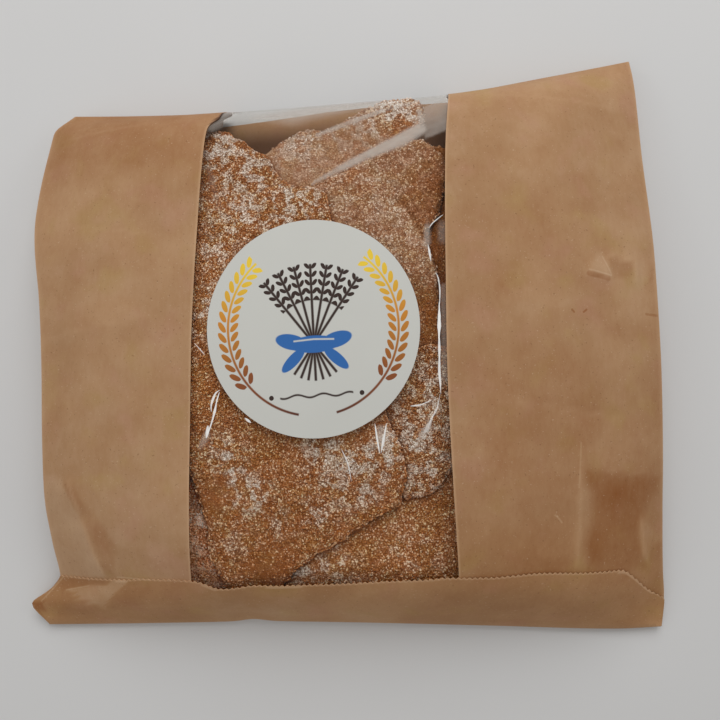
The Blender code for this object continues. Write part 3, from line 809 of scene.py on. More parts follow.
glintParts = {"steps": 26, "above": 0.10, "crest": 0.08, "taper": 0.6, "blur": 0.03}
filmGlints = [
    (0.45, 0.75, [(36.6, 40.4), (33.9, 38.2), (32.0, 36.4), (31.0, 34.7)]),
    (0.60, 0.85, [(30.5, 28.5), (31.0, 25.6), (31.6, 21.6)]),
    (0.55, 0.80, [(33.2, 17.9), (34.3, 14.7), (34.7, 10.3), (34.5, 4.5)]),
    (1.15, 1.00, [(34.4, 6.5), (34.3, -0.7), (34.1, -8.5)]),
    (0.80, 0.90, [(34.2, -4), (34.2, -13), (34.1, -19.2), (34.4, -24), (34.6, -28.3)]),
    (0.50, 0.60, [(34.4, -27.5), (33.2, -33.1), (31.1, -37.1), (29.8, -40.1)]),
    (1.30, 0.40, [(31.6, -36), (29.8, -40.1), (28.1, -42.5)]),
    (0.65, 0.80, [(23.2, -32.5), (26.8, -32.1), (29, -31.3), (31.1, -30.3)]),
    (0.75, 0.90, [(-46.6, -26.5), (-48.1, -27.5), (-49.2, -29.8), (-49.9, -32.6), (-49.8, -34.7)]),
    (0.80, 0.95, [(-46.8, -27.1), (-47.7, -30), (-48.5, -34.3), (-49.3, -37.4), (-51.4, -43.7)]),
    (1.30, 0.90, [(-51.0, -39.5), (-51.2, -41.9), (-51.6, -44.3)]),
    (0.90, 0.90, [(-37.4, -36.8), (-35.0, -38.6)]),
    (0.80, 0.95, [(10.3, -38.6), (11.3, -45.2), (12.1, -49.9)]),
    (0.80, 0.90, [(14.6, -38.6), (13.5, -44.8), (12.5, -49.9)]),
    (0.50, 0.70, [(-2.1, -47.7), (0.5, -53.5), (1.8, -60)]),
    (0.50, 0.60, [(-56.8, -9.0), (-52.5, -13.6)]),
]


def glareAndHazeField(x, y):
    # painted glare and haze of the film at a point
    field = patchField(x, y, glareAndHazeAreas)
    for x0, y0, x1, y1, wide0, wide1, white in filmBands:
        run, away = alongLine(x, y, x0, y0, x1, y1)
        reach = away / (wide0 + (wide1 - wide0) * run)
        field = np.maximum(field, white * softStep(1.5 - reach, 0, 0.9))
    return field


def filmRelief(x, y):
    return lumps(x, y, filmParts["waves"]) + filmParts["bandHeight"] * glareAndHazeField(x, y)


def makeFilm():
    rows, nose, under = (filmParts[key] for key in ("rows", "noseRows", "underRows"))
    total = rows + nose + under
    drop = filmParts["drop"]

    def place(s, t):
        row = np.rint(t * total).astype(int)
        v = filmParts["lowV"] + (1 - filmParts["lowV"]) * rowShares(rows)[np.clip(row, 0, rows)]
        left = curve["windowLeftX"](v) - filmParts["margin"]
        right = curve["windowRightX"](v) + filmParts["margin"]
        u = acrossOf(left + (right - left) * s, v)
        x, y, z = frontAt(u, v)
        # its own waves in the window, the paper's relief where it is glued on
        free = awayFromEnds(s, 0.03, 0.09)
        z = z - drop + filmRelief(x, y) * free * softStep(1 - v, 0.0, 0.03)
        z = z + (1 - free) * paperRelief(x, y)[0] * awayFromEnds(v, 0.0, paperEase["end"])
        turn = np.clip((row - rows) / nose, 0, 1)
        # it stands off the top fold in a loop, most at the left
        loop = filmParts["loop"] * np.clip(1 - s * 1.1, 0, 1) * np.clip(s / 0.12, 0, 1)
        fold = aroundFold(u, turn, -drop, loop * np.sin(np.pi * turn) + 0.2)
        run = np.clip(row - rows - nose, 0, under) / under * (paperParts["underLength"] - 0.3)
        return overFold(row, rows, nose, (x, y, z), fold, underFold(u, run, -drop))

    film = gridSheet("windowFilm", filmParts["columns"], total, place)
    x, y, z = readPoints(film).T / mm
    streaks = 0.95 + filmParts["streak"] * lump(x * 0.5 + y * 0.4, y - x * 0.5, 2.5, 17.0)
    # painted glare: a white diffuse share stands in for the film's reflections
    paintPoints(film, "milky", glareAndHazeField(x, y) * streaks * (z > 3))
    applied(film, "SOLIDIFY", thickness=filmParts["thick"] * mm, offset=-1.0)
    bpy.ops.object.shade_smooth_by_angle(angle=filmParts["smoothBelow"])
    return film


def makeGlints():
    steps = glintParts["steps"]
    share = np.linspace(0, 1, steps + 1)
    points, faces, white = [], [], []
    for wide, brightness, route in filmGlints:
        xs, ys = np.array(route, float).T
        run = np.concatenate([[0], np.cumsum(np.hypot(np.diff(xs), np.diff(ys)))])
        x, y = [smoothThrough(list(zip(run / run[-1], ends)), glintParts["blur"])(share)
                for ends in (xs, ys)]
        dx, dy = np.gradient(x), np.gradient(y)
        long = np.hypot(dx, dy)
        taper = np.sin(np.pi * share) ** glintParts["taper"] * (1 + 0.5 * lump(x, y, 3, 19.0))
        first = len(points)
        for offset, lift in ((-0.5, 0), (0, glintParts["crest"]), (0.5, 0)):
            px = x - dy / long * wide * taper * offset
            py = y + dx / long * wide * taper * offset
            pz = frontZ(px, py) - filmParts["drop"] + filmRelief(px, py) + glintParts["above"] + lift
            points += np.column_stack([px, py, pz]).tolist()
            white += list(brightness * (1 if offset == 0 else 0.8) * np.ones(steps + 1))
        for row in (0, 1):
            for step in range(steps):
                low = first + row * (steps + 1) + step
                faces.append((low, low + 1, low + steps + 2, low + steps + 1))
    nothingSelected()
    bpy.ops.mesh.primitive_plane_add(size=1)
    glints = named("filmGlints")
    glints.data.clear_geometry()
    glints.data.from_pydata((np.array(points) * mm).tolist(), [], faces)
    # painted highlight: how white each ribbon is painted
    paintPoints(glints, "wrinkle", white)
    openAll(glints)
    bpy.ops.mesh.normals_make_consistent(inside=False)
    bpy.ops.object.mode_set(mode="OBJECT")
    bpy.ops.object.shade_smooth()
    return glints


# Round label

labelParts = {"centre": (-12.45, -3.1), "radius": 39.6, "tall": 1.04, "turn": math.radians(3.5),
              "thick": 0.16, "lift": 0.05, "spokes": 144, "rings": 14,
              "waves": [(0.25, 24, 11.0), (0.05, 15, 31.0)], "smoothBelow": math.radians(40)}


def makeLabel():
    nothingSelected()
    bpy.ops.mesh.primitive_circle_add(vertices=labelParts["spokes"], fill_type="NGON",
                                      radius=labelParts["radius"] * mm)
    label = named("roundLabel")
    openAll(label)
    for _ in range(labelParts["rings"]):
        bpy.ops.mesh.inset(thickness=labelParts["radius"] * mm / (labelParts["rings"] + 1.2))
    bpy.ops.mesh.poke()
    bpy.ops.object.mode_set(mode="OBJECT")
    x, y, _ = readPoints(label).T / mm
    x = x + labelParts["centre"][0]
    y = y * labelParts["tall"] + labelParts["centre"][1]
    z = frontZ(x, y) - filmParts["drop"] + labelParts["lift"] + labelParts["thick"]
    writePoints(label, np.column_stack([x, y, z + lumps(x, y, labelParts["waves"])]) * mm)
    applied(label, "SOLIDIFY", thickness=labelParts["thick"] * mm, offset=-1.0)
    bpy.ops.object.shade_smooth_by_angle(angle=labelParts["smoothBelow"])
    return label


# Chips: each is a copy of its CAD node, remeshed and roughened. All lengths are millimetres
#   tone    0 brown .. 1 pale             crisp   contrast of the grains
#   dust    even dusting of flour         flour   share of floury grains all over
#    warm  painted light: warmer, brighter crumb in shade   voxel   size of the mesh's cells
#   tuck    how far the low end runs on under the flap
#    line    width of the painted shadow line along the edge of a chip that lies over this one
#   pulls   moves of the outline: (x, y, radius, move x, move y)
#   zones   more floury grains: (x, y, radius, amount)
#   coarse  more contrast: (x, y, radius, amount)
#    bareAndShaded  darker, less dusted, partly painted shade and light: (x, y, radius, darker, barer,
#    corners that hold it in, if any)
#    edgeLightAndShade  painted shade along an edge the chips don't have, below 0 painted light: (x0,
#    y0, x1, y1, width, darker)

chipLooks = {
    "chip_front": {
        "tone": 0.48, "crisp": 1.1, "dust": 0.02, "flour": 0.03, "voxel": 0.62, "tuck": 7,
        "pulls": [(-35, 63, 6, 1.2, 2.9), (-15, 46, 8, 3.2, 4.2), (-48, -86, 9, -2.6, 0),
                  (-50.5, 77.5, 3.5, 0, 2.0), (-44.5, 73, 3.0, 0.4, 1.4),
                  (-47.0, 77.0, 1.7, 0.2, -1.4)],
        # painted shade at the upper left, towards the paper's edge
        "bareAndShaded": [(-40, 62, 17, 0.13, 0)],
        "coarse": [(-46, -63, 4, -0.5), (-51, -69, 3.5, -0.6), (-31, -94, 6, -0.6),
                   (-20, -82, 4, -0.3)],
        "zones": [(-50, 76, 13, 0.58), (-38, 62, 13, 0.54), (-22, 49, 10, 0.60),
                  (-40, 46, 12, 0.46), (-52, 30, 9, 0.34), (-56, 4, 8, 0.42), (-45, -50, 5, 0.45),
                  (-41, -58, 4, 0.65), (-36, -65, 5, 0.65), (-9, -49, 6, 0.55), (2, -52, 7, 0.60),
                  (13, -50, 7, 0.60), (18, -47, 6, 0.60), (-4, -62, 7, 0.42), (6, -64, 5, 0.45),
                  (-11, -73, 5, 0.36), (-24, -76, 4, 0.30), (12, -60, 6, 0.30),
                  (-44, -84, 6, 0.16)]},
    "chip_right_low": {
        "tone": 0.40, "crisp": 1.4, "dust": 0.05, "flour": 0.21, "voxel": 0.62,
        "pulls": [(31, -17, 8, 0.5, 4.8)],
        "zones": [(27, -47, 8, 0.30), (32, -57, 6, 0.25), (34, -28, 8, 0.20)]},
    "chip_right_high": {
        "tone": 0.52, "crisp": 0.64, "dust": 0.46, "flour": 0.06, "voxel": 0.66,
        "pulls": [(30, 60, 11, 11, 0), (28, 46.5, 9, 9, 0)],
        # (38, 60) and (33, 48) are painted shade where the chip runs in beside the paper's edge
        "bareAndShaded": [(2, 57.5, 4.5, 0.05, 0.30), (38, 60, 6, 0.12, 0.10), (31, 8, 7, 0.05, 0.34),
                 (31, -6, 8, 0.05, 0.34),
                 (33, 48, 11, 0.30, 0.26, (10, 66), (19, 50), (24, 43), (29.5, 32.1), (50, 32),
                  (50, 90), (10, 90))],
        # painted shade along an edge line between chips, with a lighter painted band beside it
        "edgeLightAndShade": [(19.5, 49.4, 24.3, 43.2, 0.9, 0.30), (24.3, 43.2, 29.8, 32.3, 1.0, 0.45),
                  (21.5, 44, 27.0, 34.5, 1.6, -0.12)],
        "zones": [(0, 56, 7, 0.14), (14, 52, 9, 0.12), (10, 30, 8, 0.08)]},
    "chip_top": {
        "tone": 0.60, "crisp": 0.36, "dust": 0.52, "flour": 0.06, "voxel": 0.66,
        "pulls": [(-29, 63, 6, -1.0, 2.8), (19, 86, 11, 0.4, -0.5), (19, 92, 6, 0, -1.0),
                  (-8, 77, 8, 0, -1.2)],
        "bareAndShaded": [(18.5, 79.5, 3.5, 0.04, 0.25), (23.5, 81.5, 3.0, 0.04, 0.35),
                 (12, 86, 4, 0.0, 0.15), (20, 89.5, 4, 0.0, 0.20), (27, 88, 3, 0.0, 0.20)],
        "coarse": [(12, 87, 5, 0.5), (21, 90, 6, 0.8), (-20, 75, 6, 0.3)],
        "zones": [(-20, 76, 7, 0.25), (8, 88, 9, 0.34), (24, 93, 7, 0.60), (14, 88, 4, 0.50),
                  (20, 89, 4, 0.65), (26, 88, 3, 0.60), (-4, 80, 6, 0.18)]},
    "chip_far_right": {
        "tone": 0.30, "crisp": 0.6, "dust": 0.12, "flour": 0.0, "voxel": 0.7,
        "pulls": [(37, 68, 7, 0, -3.5)],
        "zones": []},
    "chip_low_right": {
        "tone": 0.52, "crisp": 1.1, "dust": 0.04, "flour": 0.02, "voxel": 0.66, "tuck": 7,
        # below 0: painted light at the chip's low end, in the shade of the flap and the chip above
        "bareAndShaded": [(-21, -93, 6, -0.35, 0)],
        "zones": [(-6, -93, 7, 0.30), (20, -86, 5, 0.16), (29, -89, 6, 0.20), (-20, -93, 5, 0.6)]},
    # it lies deep in shade: its high tone and its tint are painted light, and its painted shadow line
    # is wide
    "chip_low_left": {
        "tone": 0.98, "warm": 1.0, "line": 2.0, "crisp": 1.3, "dust": 0.02, "flour": 0.10,
        "voxel": 0.7, "tuck": 7,
        "pulls": [(-56, -78, 14, -3.5, 0)],
        "zones": [(-55.5, -75, 4, 0.50), (-54.5, -85, 3, 0.40), (-48, -92, 4, 0.40),
                  (-50, -99, 4, 0.25)]},
}
chipParts = {"thinner": 1.1, "weldWithin": 0.01, "tuckFrom": (92, 101),
             # the broken surface: (name, size, height)
             "relief": [("wave", 14.0, 1.0), ("lumps", 4.2, 0.75), ("grit", 1.7, 0.65)]}
settleParts = {"cell": 2.0, "gap": 0.15, "near": 7.0, "faint": 1e-5, "least": -1, "most": 6.5,
               "shrink": 3, "smooth": 2, "rim": 0.5, "line": 0.9}


def reliefTexture(name, size):
    texture = bpy.data.textures.new(name, "CLOUDS")
    texture.noise_scale = size * mm
    texture.noise_depth = 1
    return texture


def flourAt(x, y, looks):
    # share of floury grains
    flour = np.full(np.shape(x), looks["flour"])
    for zoneX, zoneY, radius, amount in looks["zones"]:
        reach = np.hypot(x - zoneX, y - zoneY) / radius
        flour = np.maximum(flour, looks["flour"] + amount * np.exp(-0.5 * reach ** 2))
    return flour


def crispAt(x, y, looks):
    # how strongly the grains differ
    crisp = np.full(np.shape(x), looks["crisp"])
    for coarseX, coarseY, radius, amount in looks.get("coarse", []):
        crisp += amount * np.exp(-0.5 * ((x - coarseX) ** 2 + (y - coarseY) ** 2) / radius ** 2)
    return crisp


def shadesAt(x, y, looks):
    # tone and even dusting, with bare crust and painted shade and light
    tone, dust = np.full(np.shape(x), looks["tone"]), np.full(np.shape(x), looks["dust"])
    for bareX, bareY, radius, darker, barer, *corners in looks.get("bareAndShaded", []):
        near = np.exp(-0.5 * ((x - bareX) ** 2 + (y - bareY) ** 2) / radius ** 2)
        if corners:
            near = near * insideArea(x, y, corners, 0.35)
        tone, dust = tone - darker * near, dust - barer * near
    for x0, y0, x1, y1, width, darker in looks.get("edgeLightAndShade", []):
        tone = tone - darker * np.exp(-(alongLine(x, y, x0, y0, x1, y1)[1] / width) ** 2)
    return tone, dust


def makeChip(node, looks, coarse=1.0):
    # coarse is how much larger the mesh's cells are
    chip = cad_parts[node].copy()
    chip.data = chip.data.copy()
    chip.parent = None
    for key in list(chip.keys()):
        del chip[key]
    bpy.context.scene.collection.objects.link(chip)
    chip.name = chip.data.name = node.replace("chip_", "ryeChip_")
    weld(chip, chipParts["weldWithin"])
    voxel = looks["voxel"] * coarse * 1.0
    applied(chip, "REMESH", mode="VOXEL", voxel_size=voxel * mm, use_smooth_shade=True)
    # the underside comes up, so that the chip is as thin as it looks at its broken edge
    points = readPoints(chip)
    downward = -readPoints(chip, "normal")[:, 2]
    points[:, 2] += chipParts["thinner"] * mm * softStep(downward, -0.5, 0.7)
    writePoints(chip, points)
    for name, size, strength in chipParts["relief"]:
        applied(chip, "DISPLACE", texture=reliefTexture(f"{node}_{name}", size),
                strength=strength * mm, mid_level=0.5, texture_coords="LOCAL")
    x, y, z = readPoints(chip).T / mm
    tuckFrom, tuckTo = chipParts["tuckFrom"]
    movedX, movedY = x, y - looks.get("tuck", 0) * softStep(-y, tuckFrom, tuckTo)
    for pullX, pullY, radius, moveX, moveY in looks.get("pulls", []):
        near = np.exp(-((x - pullX) ** 2 + (y - pullY) ** 2) / radius ** 2)
        movedX, movedY = movedX + moveX * near, movedY + moveY * near
    z = z + frontZ(movedX, movedY) - frontZ(x, y)
    x, y = movedX, movedY
    writePoints(chip, np.column_stack([x, y, z]) * mm)
    tone, dust = shadesAt(x, y, looks)
    warm = np.full(len(x), looks.get("warm", 0.0))
    for name, values in (("flour", flourAt(x, y, looks)), ("tone", tone), ("dust", dust),
                         ("warm", warm), ("crisp", crispAt(x, y, looks))):
        paintPoints(chip, name, values)
    chip.data.materials.clear()
    return chip


def neighbours(grid, edge=0.0):
    # a grid nine times, shifted by one cell each way, with a given value beyond its edges
    wide, tall = grid.shape
    grid = np.pad(grid, 1, constant_values=edge)
    return [grid[i:i + wide, j:j + tall] for i in range(3) for j in range(3)]


def settle(chip, above):
    # raise a chip until it lies against the ones over it: the room between them is measured
    # on a grid of cells and spread softly over the whole chip
    cell = settleParts["cell"]
    clouds = [readPoints(piece) / mm for piece in [chip] + above]
    low = np.min([cloud[:, :2].min(axis=0) for cloud in clouds], axis=0)
    high = np.max([cloud[:, :2].max(axis=0) for cloud in clouds], axis=0)
    size = ((high - low) // cell + 2).astype(int)
    top, under = np.full(size, -farOff), np.full(size, farOff)
    own, *others = clouds
    for extreme, grid, members in ((np.maximum, top, [own]), (np.minimum, under, others)):
        for cloud in members:
            column = ((cloud[:, :2] - low) // cell).astype(int)
            extreme.at(grid, tuple(column.T), cloud[:, 2])
    filled = top > -farOff
    known = filled & (under < farOff)
    if not known.any():
        return
    room = np.where(known, under - top - settleParts["gap"], farOff)
    for _ in range(settleParts["shrink"]):
        room = np.min(neighbours(room, farOff), axis=0)
    heights = np.clip(room[known], settleParts["least"], settleParts["most"])
    apart = np.argwhere(filled)[:, None] - np.argwhere(known)[None]
    away = np.hypot(*apart.transpose(2, 0, 1)) * cell
    weight = np.exp(-0.5 * (away / settleParts["near"]) ** 2) + settleParts["faint"]
    lift = np.zeros(size)
    lift[filled] = (weight * heights).sum(axis=1) / weight.sum(axis=1)
    # evened out over neighbouring cells, also just past the chip's edge
    for _ in range(settleParts["smooth"]):
        lift = sum(neighbours(lift * filled)) / np.maximum(sum(neighbours(filled * 1.0)), 1)
    # each point's own rise is read between the cells' middles
    at = (own[:, :2] - low) / cell - 0.5
    first = np.clip(np.floor(at).astype(int), 0, size - 2)
    i, j = first.T
    px, py = np.clip(at - first, 0, 1).T
    rise = (lift[i, j] * (1 - px) * (1 - py) + lift[i + 1, j] * px * (1 - py)
            + lift[i, j + 1] * (1 - px) * py + lift[i + 1, j + 1] * px * py)
    points = readPoints(chip)
    points[:, 2] += rise * mm
    writePoints(chip, points)
    print(f"{chip.name} raised by {rise.min():.1f} to {rise.max():.1f} mm")


def shadeSteps(chip, above, line):
    # painted shadow: how near a point of a chip is to the edge of one that lies over it, as a dark
    # line there
    rims = KDTree(sum(len(piece.data.vertices) for piece in above))
    for piece in above:
        points = readPoints(piece) / mm
        for index in np.flatnonzero(abs(readPoints(piece, "normal")[:, 2]) < settleParts["rim"]):
            rims.insert((points[index, 0], points[index, 1], 0), int(index))
    rims.balance()
    near = np.zeros(len(chip.data.vertices))
    if above:
        for index, (x, y, z) in enumerate(readPoints(chip) / mm):
            near[index] = math.exp(-(rims.find((x, y, 0))[2] / line) ** 2)
    paintPoints(chip, "step", near)


# The chips that lie below the seen ones, as flatter, smaller copies at two heights

heapParts = {"layers": [(0.76, 0.93, 2.5), (0.50, 0.90, -3.0)],  # (height, spread, turn)
             "coarse": 2.4, "tone": 0.35}


def makeHeap():
    copies = []
    for height, spread, turn in heapParts["layers"]:
        lean = math.radians(turn)
        for node, looks in chipLooks.items():
            looks = {**looks, "tone": heapParts["tone"], "tuck": 0}
            copy = makeChip(node, looks, heapParts["coarse"])
            x, y, z = readPoints(copy).T / mm
            middleX, middleY = x.mean(), y.mean()
            dx, dy = (x - middleX) * spread, (y - middleY) * spread
            x = middleX + dx * math.cos(lean) - dy * math.sin(lean)
            y = middleY + dy * math.cos(lean) + dx * math.sin(lean)
            writePoints(copy, np.column_stack([x, y, z * height]) * mm)
            copies.append(copy)
    return joined("chipHeap", copies)


# Loose grains: small lumps strewn over what shows of the chips

grainParts = {"count": 9400, "low": 0.22, "high": 0.44, "vary": (0.7, 1.25), "rough": 0.22,
              "flat": 0.7, "sink": 0.3, "seed": 5, "cell": 1.2, "upright": -0.1, "seenBelow": 2.2,
              "underLabel": 3, "lightness": (-0.15, 0.45), "rim": 0.5, "rimShare": 4.0,
              "rimSize": 1.5}


def grainSpots(chips, dice):
    # place, slope, flour, tone and dusting of each grain: only what lies on top and isn't under
    # the label gets grains, and coarse crumb and the chips' rims get more
    found = []
    for chip, looks in chips:
        points, normals = readPoints(chip) / mm, readPoints(chip, "normal")
        up = normals[:, 2] > grainParts["upright"]
        points, normals = points[up], normals[up]
        x, y, _ = points.T
        rim = normals[:, 2] < grainParts["rim"]
        weight = crispAt(x, y, looks) ** 2 * (1 + grainParts["rimShare"] * rim)
        found.append((points, normals, flourAt(x, y, looks), *shadesAt(x, y, looks), weight))
    places, slopes, flours, tones, dusts, weights = map(np.concatenate, zip(*found))
    columns = np.floor(places[:, :2] / grainParts["cell"]).astype(int)
    columns -= columns.min(axis=0)
    key = columns[:, 0] * (columns[:, 1].max() + 1) + columns[:, 1]
    top = np.full(key.max() + 1, -farOff)
    np.maximum.at(top, key, places[:, 2])
    centreX, centreY = labelParts["centre"]
    away = np.hypot(places[:, 0] - centreX, (places[:, 1] - centreY) / labelParts["tall"])
    onTop = places[:, 2] > top[key] - grainParts["seenBelow"]
    seen = np.flatnonzero(onTop & (away > labelParts["radius"] - grainParts["underLabel"]))
    count = grainParts["count"] // 1
    chosen = dice.choice(seen, count, replace=False, p=weights[seen] / weights[seen].sum())
    return [values[chosen] for values in (places, slopes, flours, tones, dusts)]


def makeGrains(chips):
    dice = np.random.default_rng(grainParts["seed"])
    places, slopes, flours, tones, dusts = grainSpots(chips, dice)
    count = len(places)
    atRim = slopes[:, 2] < grainParts["rim"]
    nothingSelected()
    bpy.ops.mesh.primitive_ico_sphere_add(subdivisions=1, radius=1)
    grains = named("looseGrains")
    lumpPoints = readPoints(grains)
    lumpFaces = np.array([list(face.vertices) for face in grains.data.polygons])
    turns = np.array([list(np.ravel(Euler(dice.uniform(0, 6.28, 3)).to_matrix()))
                      for _ in range(count)]).reshape(count, 3, 3)
    sizes = dice.uniform(grainParts["low"], grainParts["high"], (count, 1, 3))
    sizes *= dice.uniform(*grainParts["vary"], (count, 1, 1))
    sizes *= np.where(atRim, grainParts["rimSize"], 1.0)[:, None, None]
    rough = 1 + grainParts["rough"] * dice.standard_normal((count, len(lumpPoints), 1))
    shapes = np.einsum("gij,gpj->gpi", turns, lumpPoints[None] * sizes * rough)
    # each is flattened against the crust and sunk into it
    along = np.einsum("gpi,gi->gp", shapes, slopes)[..., None] * slopes[:, None]
    shapes += (grainParts["flat"] - 1) * along
    lifted = places + slopes * sizes.mean(axis=2) * (1 - grainParts["sink"]) * 0.5
    points = (shapes + lifted[:, None]).reshape(-1, 3) * mm
    faces = (lumpFaces[None] + (np.arange(count) * len(lumpPoints))[:, None, None]).reshape(-1, 3)
    grains.data.clear_geometry()
    grains.data.from_pydata(points.tolist(), [], faces.tolist())
    light = 0.5 + (tones - 0.5) * 0.5 + dice.uniform(*grainParts["lightness"], count)
    for name, values in (("flour", flours), ("dust", dusts), ("tone", light)):
        paintPoints(grains, name, np.repeat(values, len(lumpPoints)))
    bpy.ops.object.shade_smooth()
    return grains


# Finishes

# light and deep are what painted light and painted shade blend towards, inside is the painted shade
# deep in the bag, and the multiplied tint deepens paper in painted shade
kraftTones = {"pale": (0.455, 0.264, 0.138), "mid": (0.400, 0.225, 0.112),
              "light": (0.62, 0.43, 0.28), "deep": (0.27, 0.095, 0.024),
              "rosy": (0.445, 0.243, 0.140), "straw": (0.425, 0.258, 0.112),
              "inside": (0.070, 0.026, 0.013), "warm": (1.0, 0.94, 0.84),
              "speck": (0.17, 0.075, 0.028), "fleck": (0.66, 0.48, 0.33),
              "rubbed": (0.66, 0.43, 0.26), "gloss": 0.35,
              # thin painted highlights and dark painted shade lines along creases, dents and edges, in
              # mm: (x0, y0, x1, y1, half width, above 0 lighter)
              "creaseLightAndShade": [(118.1, 4.3, 123.4, 4.0, 0.5, -0.7), (85.6, 4.4, 86.4, 3.5, 0.35, -1.0),
                          (90.3, 3.6, 91.6, 4.6, 0.35, -1.0), (93.2, 18.9, 101.6, 17.4, 0.9, -0.8),
                          (93.5, 20.4, 102.8, 18.6, 0.3, 0.7), (102.9, 19.0, 99.4, 26.0, 0.3, 0.6),
                          (77.5, -72.8, 78.3, -73.2, 0.35, 0.7), (78.3, -73.2, 80.2, -75.5, 0.35, 0.7),
                          (87.9, -46.0, 86.9, -62.5, 0.35, 0.5),
                          (-113.9, -99.8, -119.3, -105.2, 0.3, 0.7),
                          (-119.3, -105.2, -124.5, -110.4, 0.3, 0.7),
                          (-112.7, -104.9, -101.8, -102.2, 0.25, 0.6),
                          (-88.6, -97.6, -74.8, -97.8, 0.25, 0.7)]}


# features for each metre of paper, and the fibres' length and relief
kraftGrain = {"cloud": 30, "blotch": 95, "fibre": 560, "speck": 1150, "fleck": 1350, "hue": 62,
              "stretch": (1.0, 0.4, 1.0), "relief": 0.00010, "reliefShare": 0.35}


def kraftFinish():
    look = Finish("kraftPaper")
    long = look.node("ShaderNodeMapping", {},
                     {"Vector": look.places(), "Scale": kraftGrain["stretch"]})
    cloud = look.noise(kraftGrain["cloud"], Detail=4.0)
    blotch = look.noise(kraftGrain["blotch"], Detail=2.0)
    fibre = look.noise(kraftGrain["fibre"], long, Detail=4.0, Roughness=0.7)
    speck = look.noise(kraftGrain["speck"], Detail=1.0)
    fleck = look.noise(kraftGrain["fleck"], look.nudged(50, 0.004), Detail=1.0)
    base = look.blendColour(look.soft(cloud, 0.3, 0.7), kraftTones["mid"], kraftTones["pale"])
    hue = look.noise(kraftGrain["hue"], look.nudged(20, 0.02), Detail=2.0)
    base = look.blendColour(look.soft(hue, 0.54, 0.75) * 0.8, base, kraftTones["rosy"])
    base = look.blendColour(look.soft(hue, 0.46, 0.25) * 0.8, base, kraftTones["straw"])
    base = look.blendColour(look.attribute("warm"), base, kraftTones["warm"], "MULTIPLY")
    # painted light and shade from the patches and strokes, with the paper's own blotches and fibres
    shade = look.attribute("shade") + (blotch - 0.5) * 0.75 + (fibre - 0.5) * 0.85
    x, y, _ = look.split(look.places())
    # painted highlights and shade lines along the creases
    for x0, y0, x1, y1, wide, amount in kraftTones["creaseLightAndShade"]:
        place = [value * mm for value in (x0, y0, x1, y1, wide)]
        shade = shade + look.segment(x, y, *place) * amount
    # each tone comes in where its mask is strong: painted light, painted shade, specks, flecks, wear
    # and the painted shade inside the bag
    for name, mask in (("light", look.clamped(shade * 0.50)),
                       ("deep", look.clamped(shade * -0.62)),
                       ("speck", look.soft(speck, 0.68, 0.78) * 0.45),
                       ("fleck", look.soft(fleck, 0.68, 0.78) * 0.35),
                       ("rubbed", look.attribute("rub") * 0.5),
                       ("inside", look.attribute("inner"))):
        base = look.blendColour(mask, base, kraftTones[name])
    normal = look.bump(fibre * 0.7 + speck * 0.3, kraftGrain["relief"], kraftGrain["reliefShare"])
    look.set(Base_Color=base, Roughness=0.68 + fibre * 0.18, Normal=normal,
             Specular_IOR_Level=kraftTones["gloss"])
    return look.material


filmTones = {"mirror": 0.010, "grazing": 0.45, "paintedGlintWhite": (0.97, 0.96, 0.94),
             "glareAndHazeWhite": (0.50, 0.44, 0.39), "clear": (0.985, 0.98, 0.97),
             "shine": (1.0, 1.0, 1.0), "shineRoughness": 0.09, "streaks": 420,
             "relief": 0.0001, "reliefShare": 0.25}


def filmFinish():
    look = Finish("clearFilm")
    look.tree.nodes.remove(look.shader)
    streak = look.noise(filmTones["streaks"], Detail=2.0)
    normal = look.bump(streak, filmTones["relief"], filmTones["reliefShare"])
    clear = look.node("ShaderNodeBsdfTransparent", {}, {"Color": filmTones["clear"]})
    gloss = look.node("ShaderNodeBsdfGlossy", {},
                      {"Color": filmTones["shine"], "Roughness": filmTones["shineRoughness"],
                       "Normal": normal})
    facing = look.node("ShaderNodeLayerWeight", output=1)
    share = look.clamped(filmTones["mirror"] + facing ** 5.0 * filmTones["grazing"])
    film = look.node("ShaderNodeMixShader", {}, {0: share, 1: clear, 2: gloss})
    # painted glare on the film and painted highlights on its wrinkles, as white diffuse mixed in
    for name, colour in (("milky", "glareAndHazeWhite"), ("wrinkle", "paintedGlintWhite")):
        cloudy = look.node("ShaderNodeBsdfDiffuse", {}, {"Color": filmTones[colour]})
        film = look.node("ShaderNodeMixShader", {},
                         {0: look.clamped(look.attribute(name)), 1: film, 2: cloudy})
    look.tree.links.new(film.socket, look.end.inputs["Surface"])
    return look.material


crispTones = {"crisp": [(0.0, (0.120, 0.025, 0.003)), (0.19, (0.230, 0.059, 0.006)),
                        (0.50, (0.385, 0.115, 0.018)), (0.73, (0.580, 0.235, 0.070)),
                        (0.88, (0.745, 0.420, 0.205)), (1.0, (0.970, 0.690, 0.450))],
              "floury": [(0.0, (0.145, 0.056, 0.024)), (0.19, (0.228, 0.104, 0.048)),
                         (0.50, (0.404, 0.242, 0.158)), (0.73, (0.640, 0.456, 0.345)),
                         (0.88, (0.845, 0.685, 0.570)), (1.0, (0.980, 0.895, 0.810))],
              "green": (0.95, 1.02, 0.84), "warm": (1.36, 1.06, 0.90), "gloss": 0.3}

# features for each metre of crust, how uneven the cells are, and the height of the relief
crispGrain = {"broad": 75, "hue": 130, "patches": 210, "middle": 240, "cells": 1300,
              "smallCells": 2250, "fine": 2100, "looseFine": 2600, "uneven": (900, 0.0004),
              "relief": 0.00024, "looseRelief": 0.0001, "looseReliefShare": 0.6}


def flourShare(look, middle):
    # how floury a place is: an even dusting, and flour strewn in broken patches
    patches = look.noise(crispGrain["patches"], Detail=4.0)
    patchy = look.soft(patches + (middle - 0.5) * 0.9, 0.44, 0.58)
    strewn = look.attribute("flour") * (0.30 + patchy * 1.6)
    return look.clamped(strewn + look.attribute("dust") + (middle - 0.5) * 0.16)


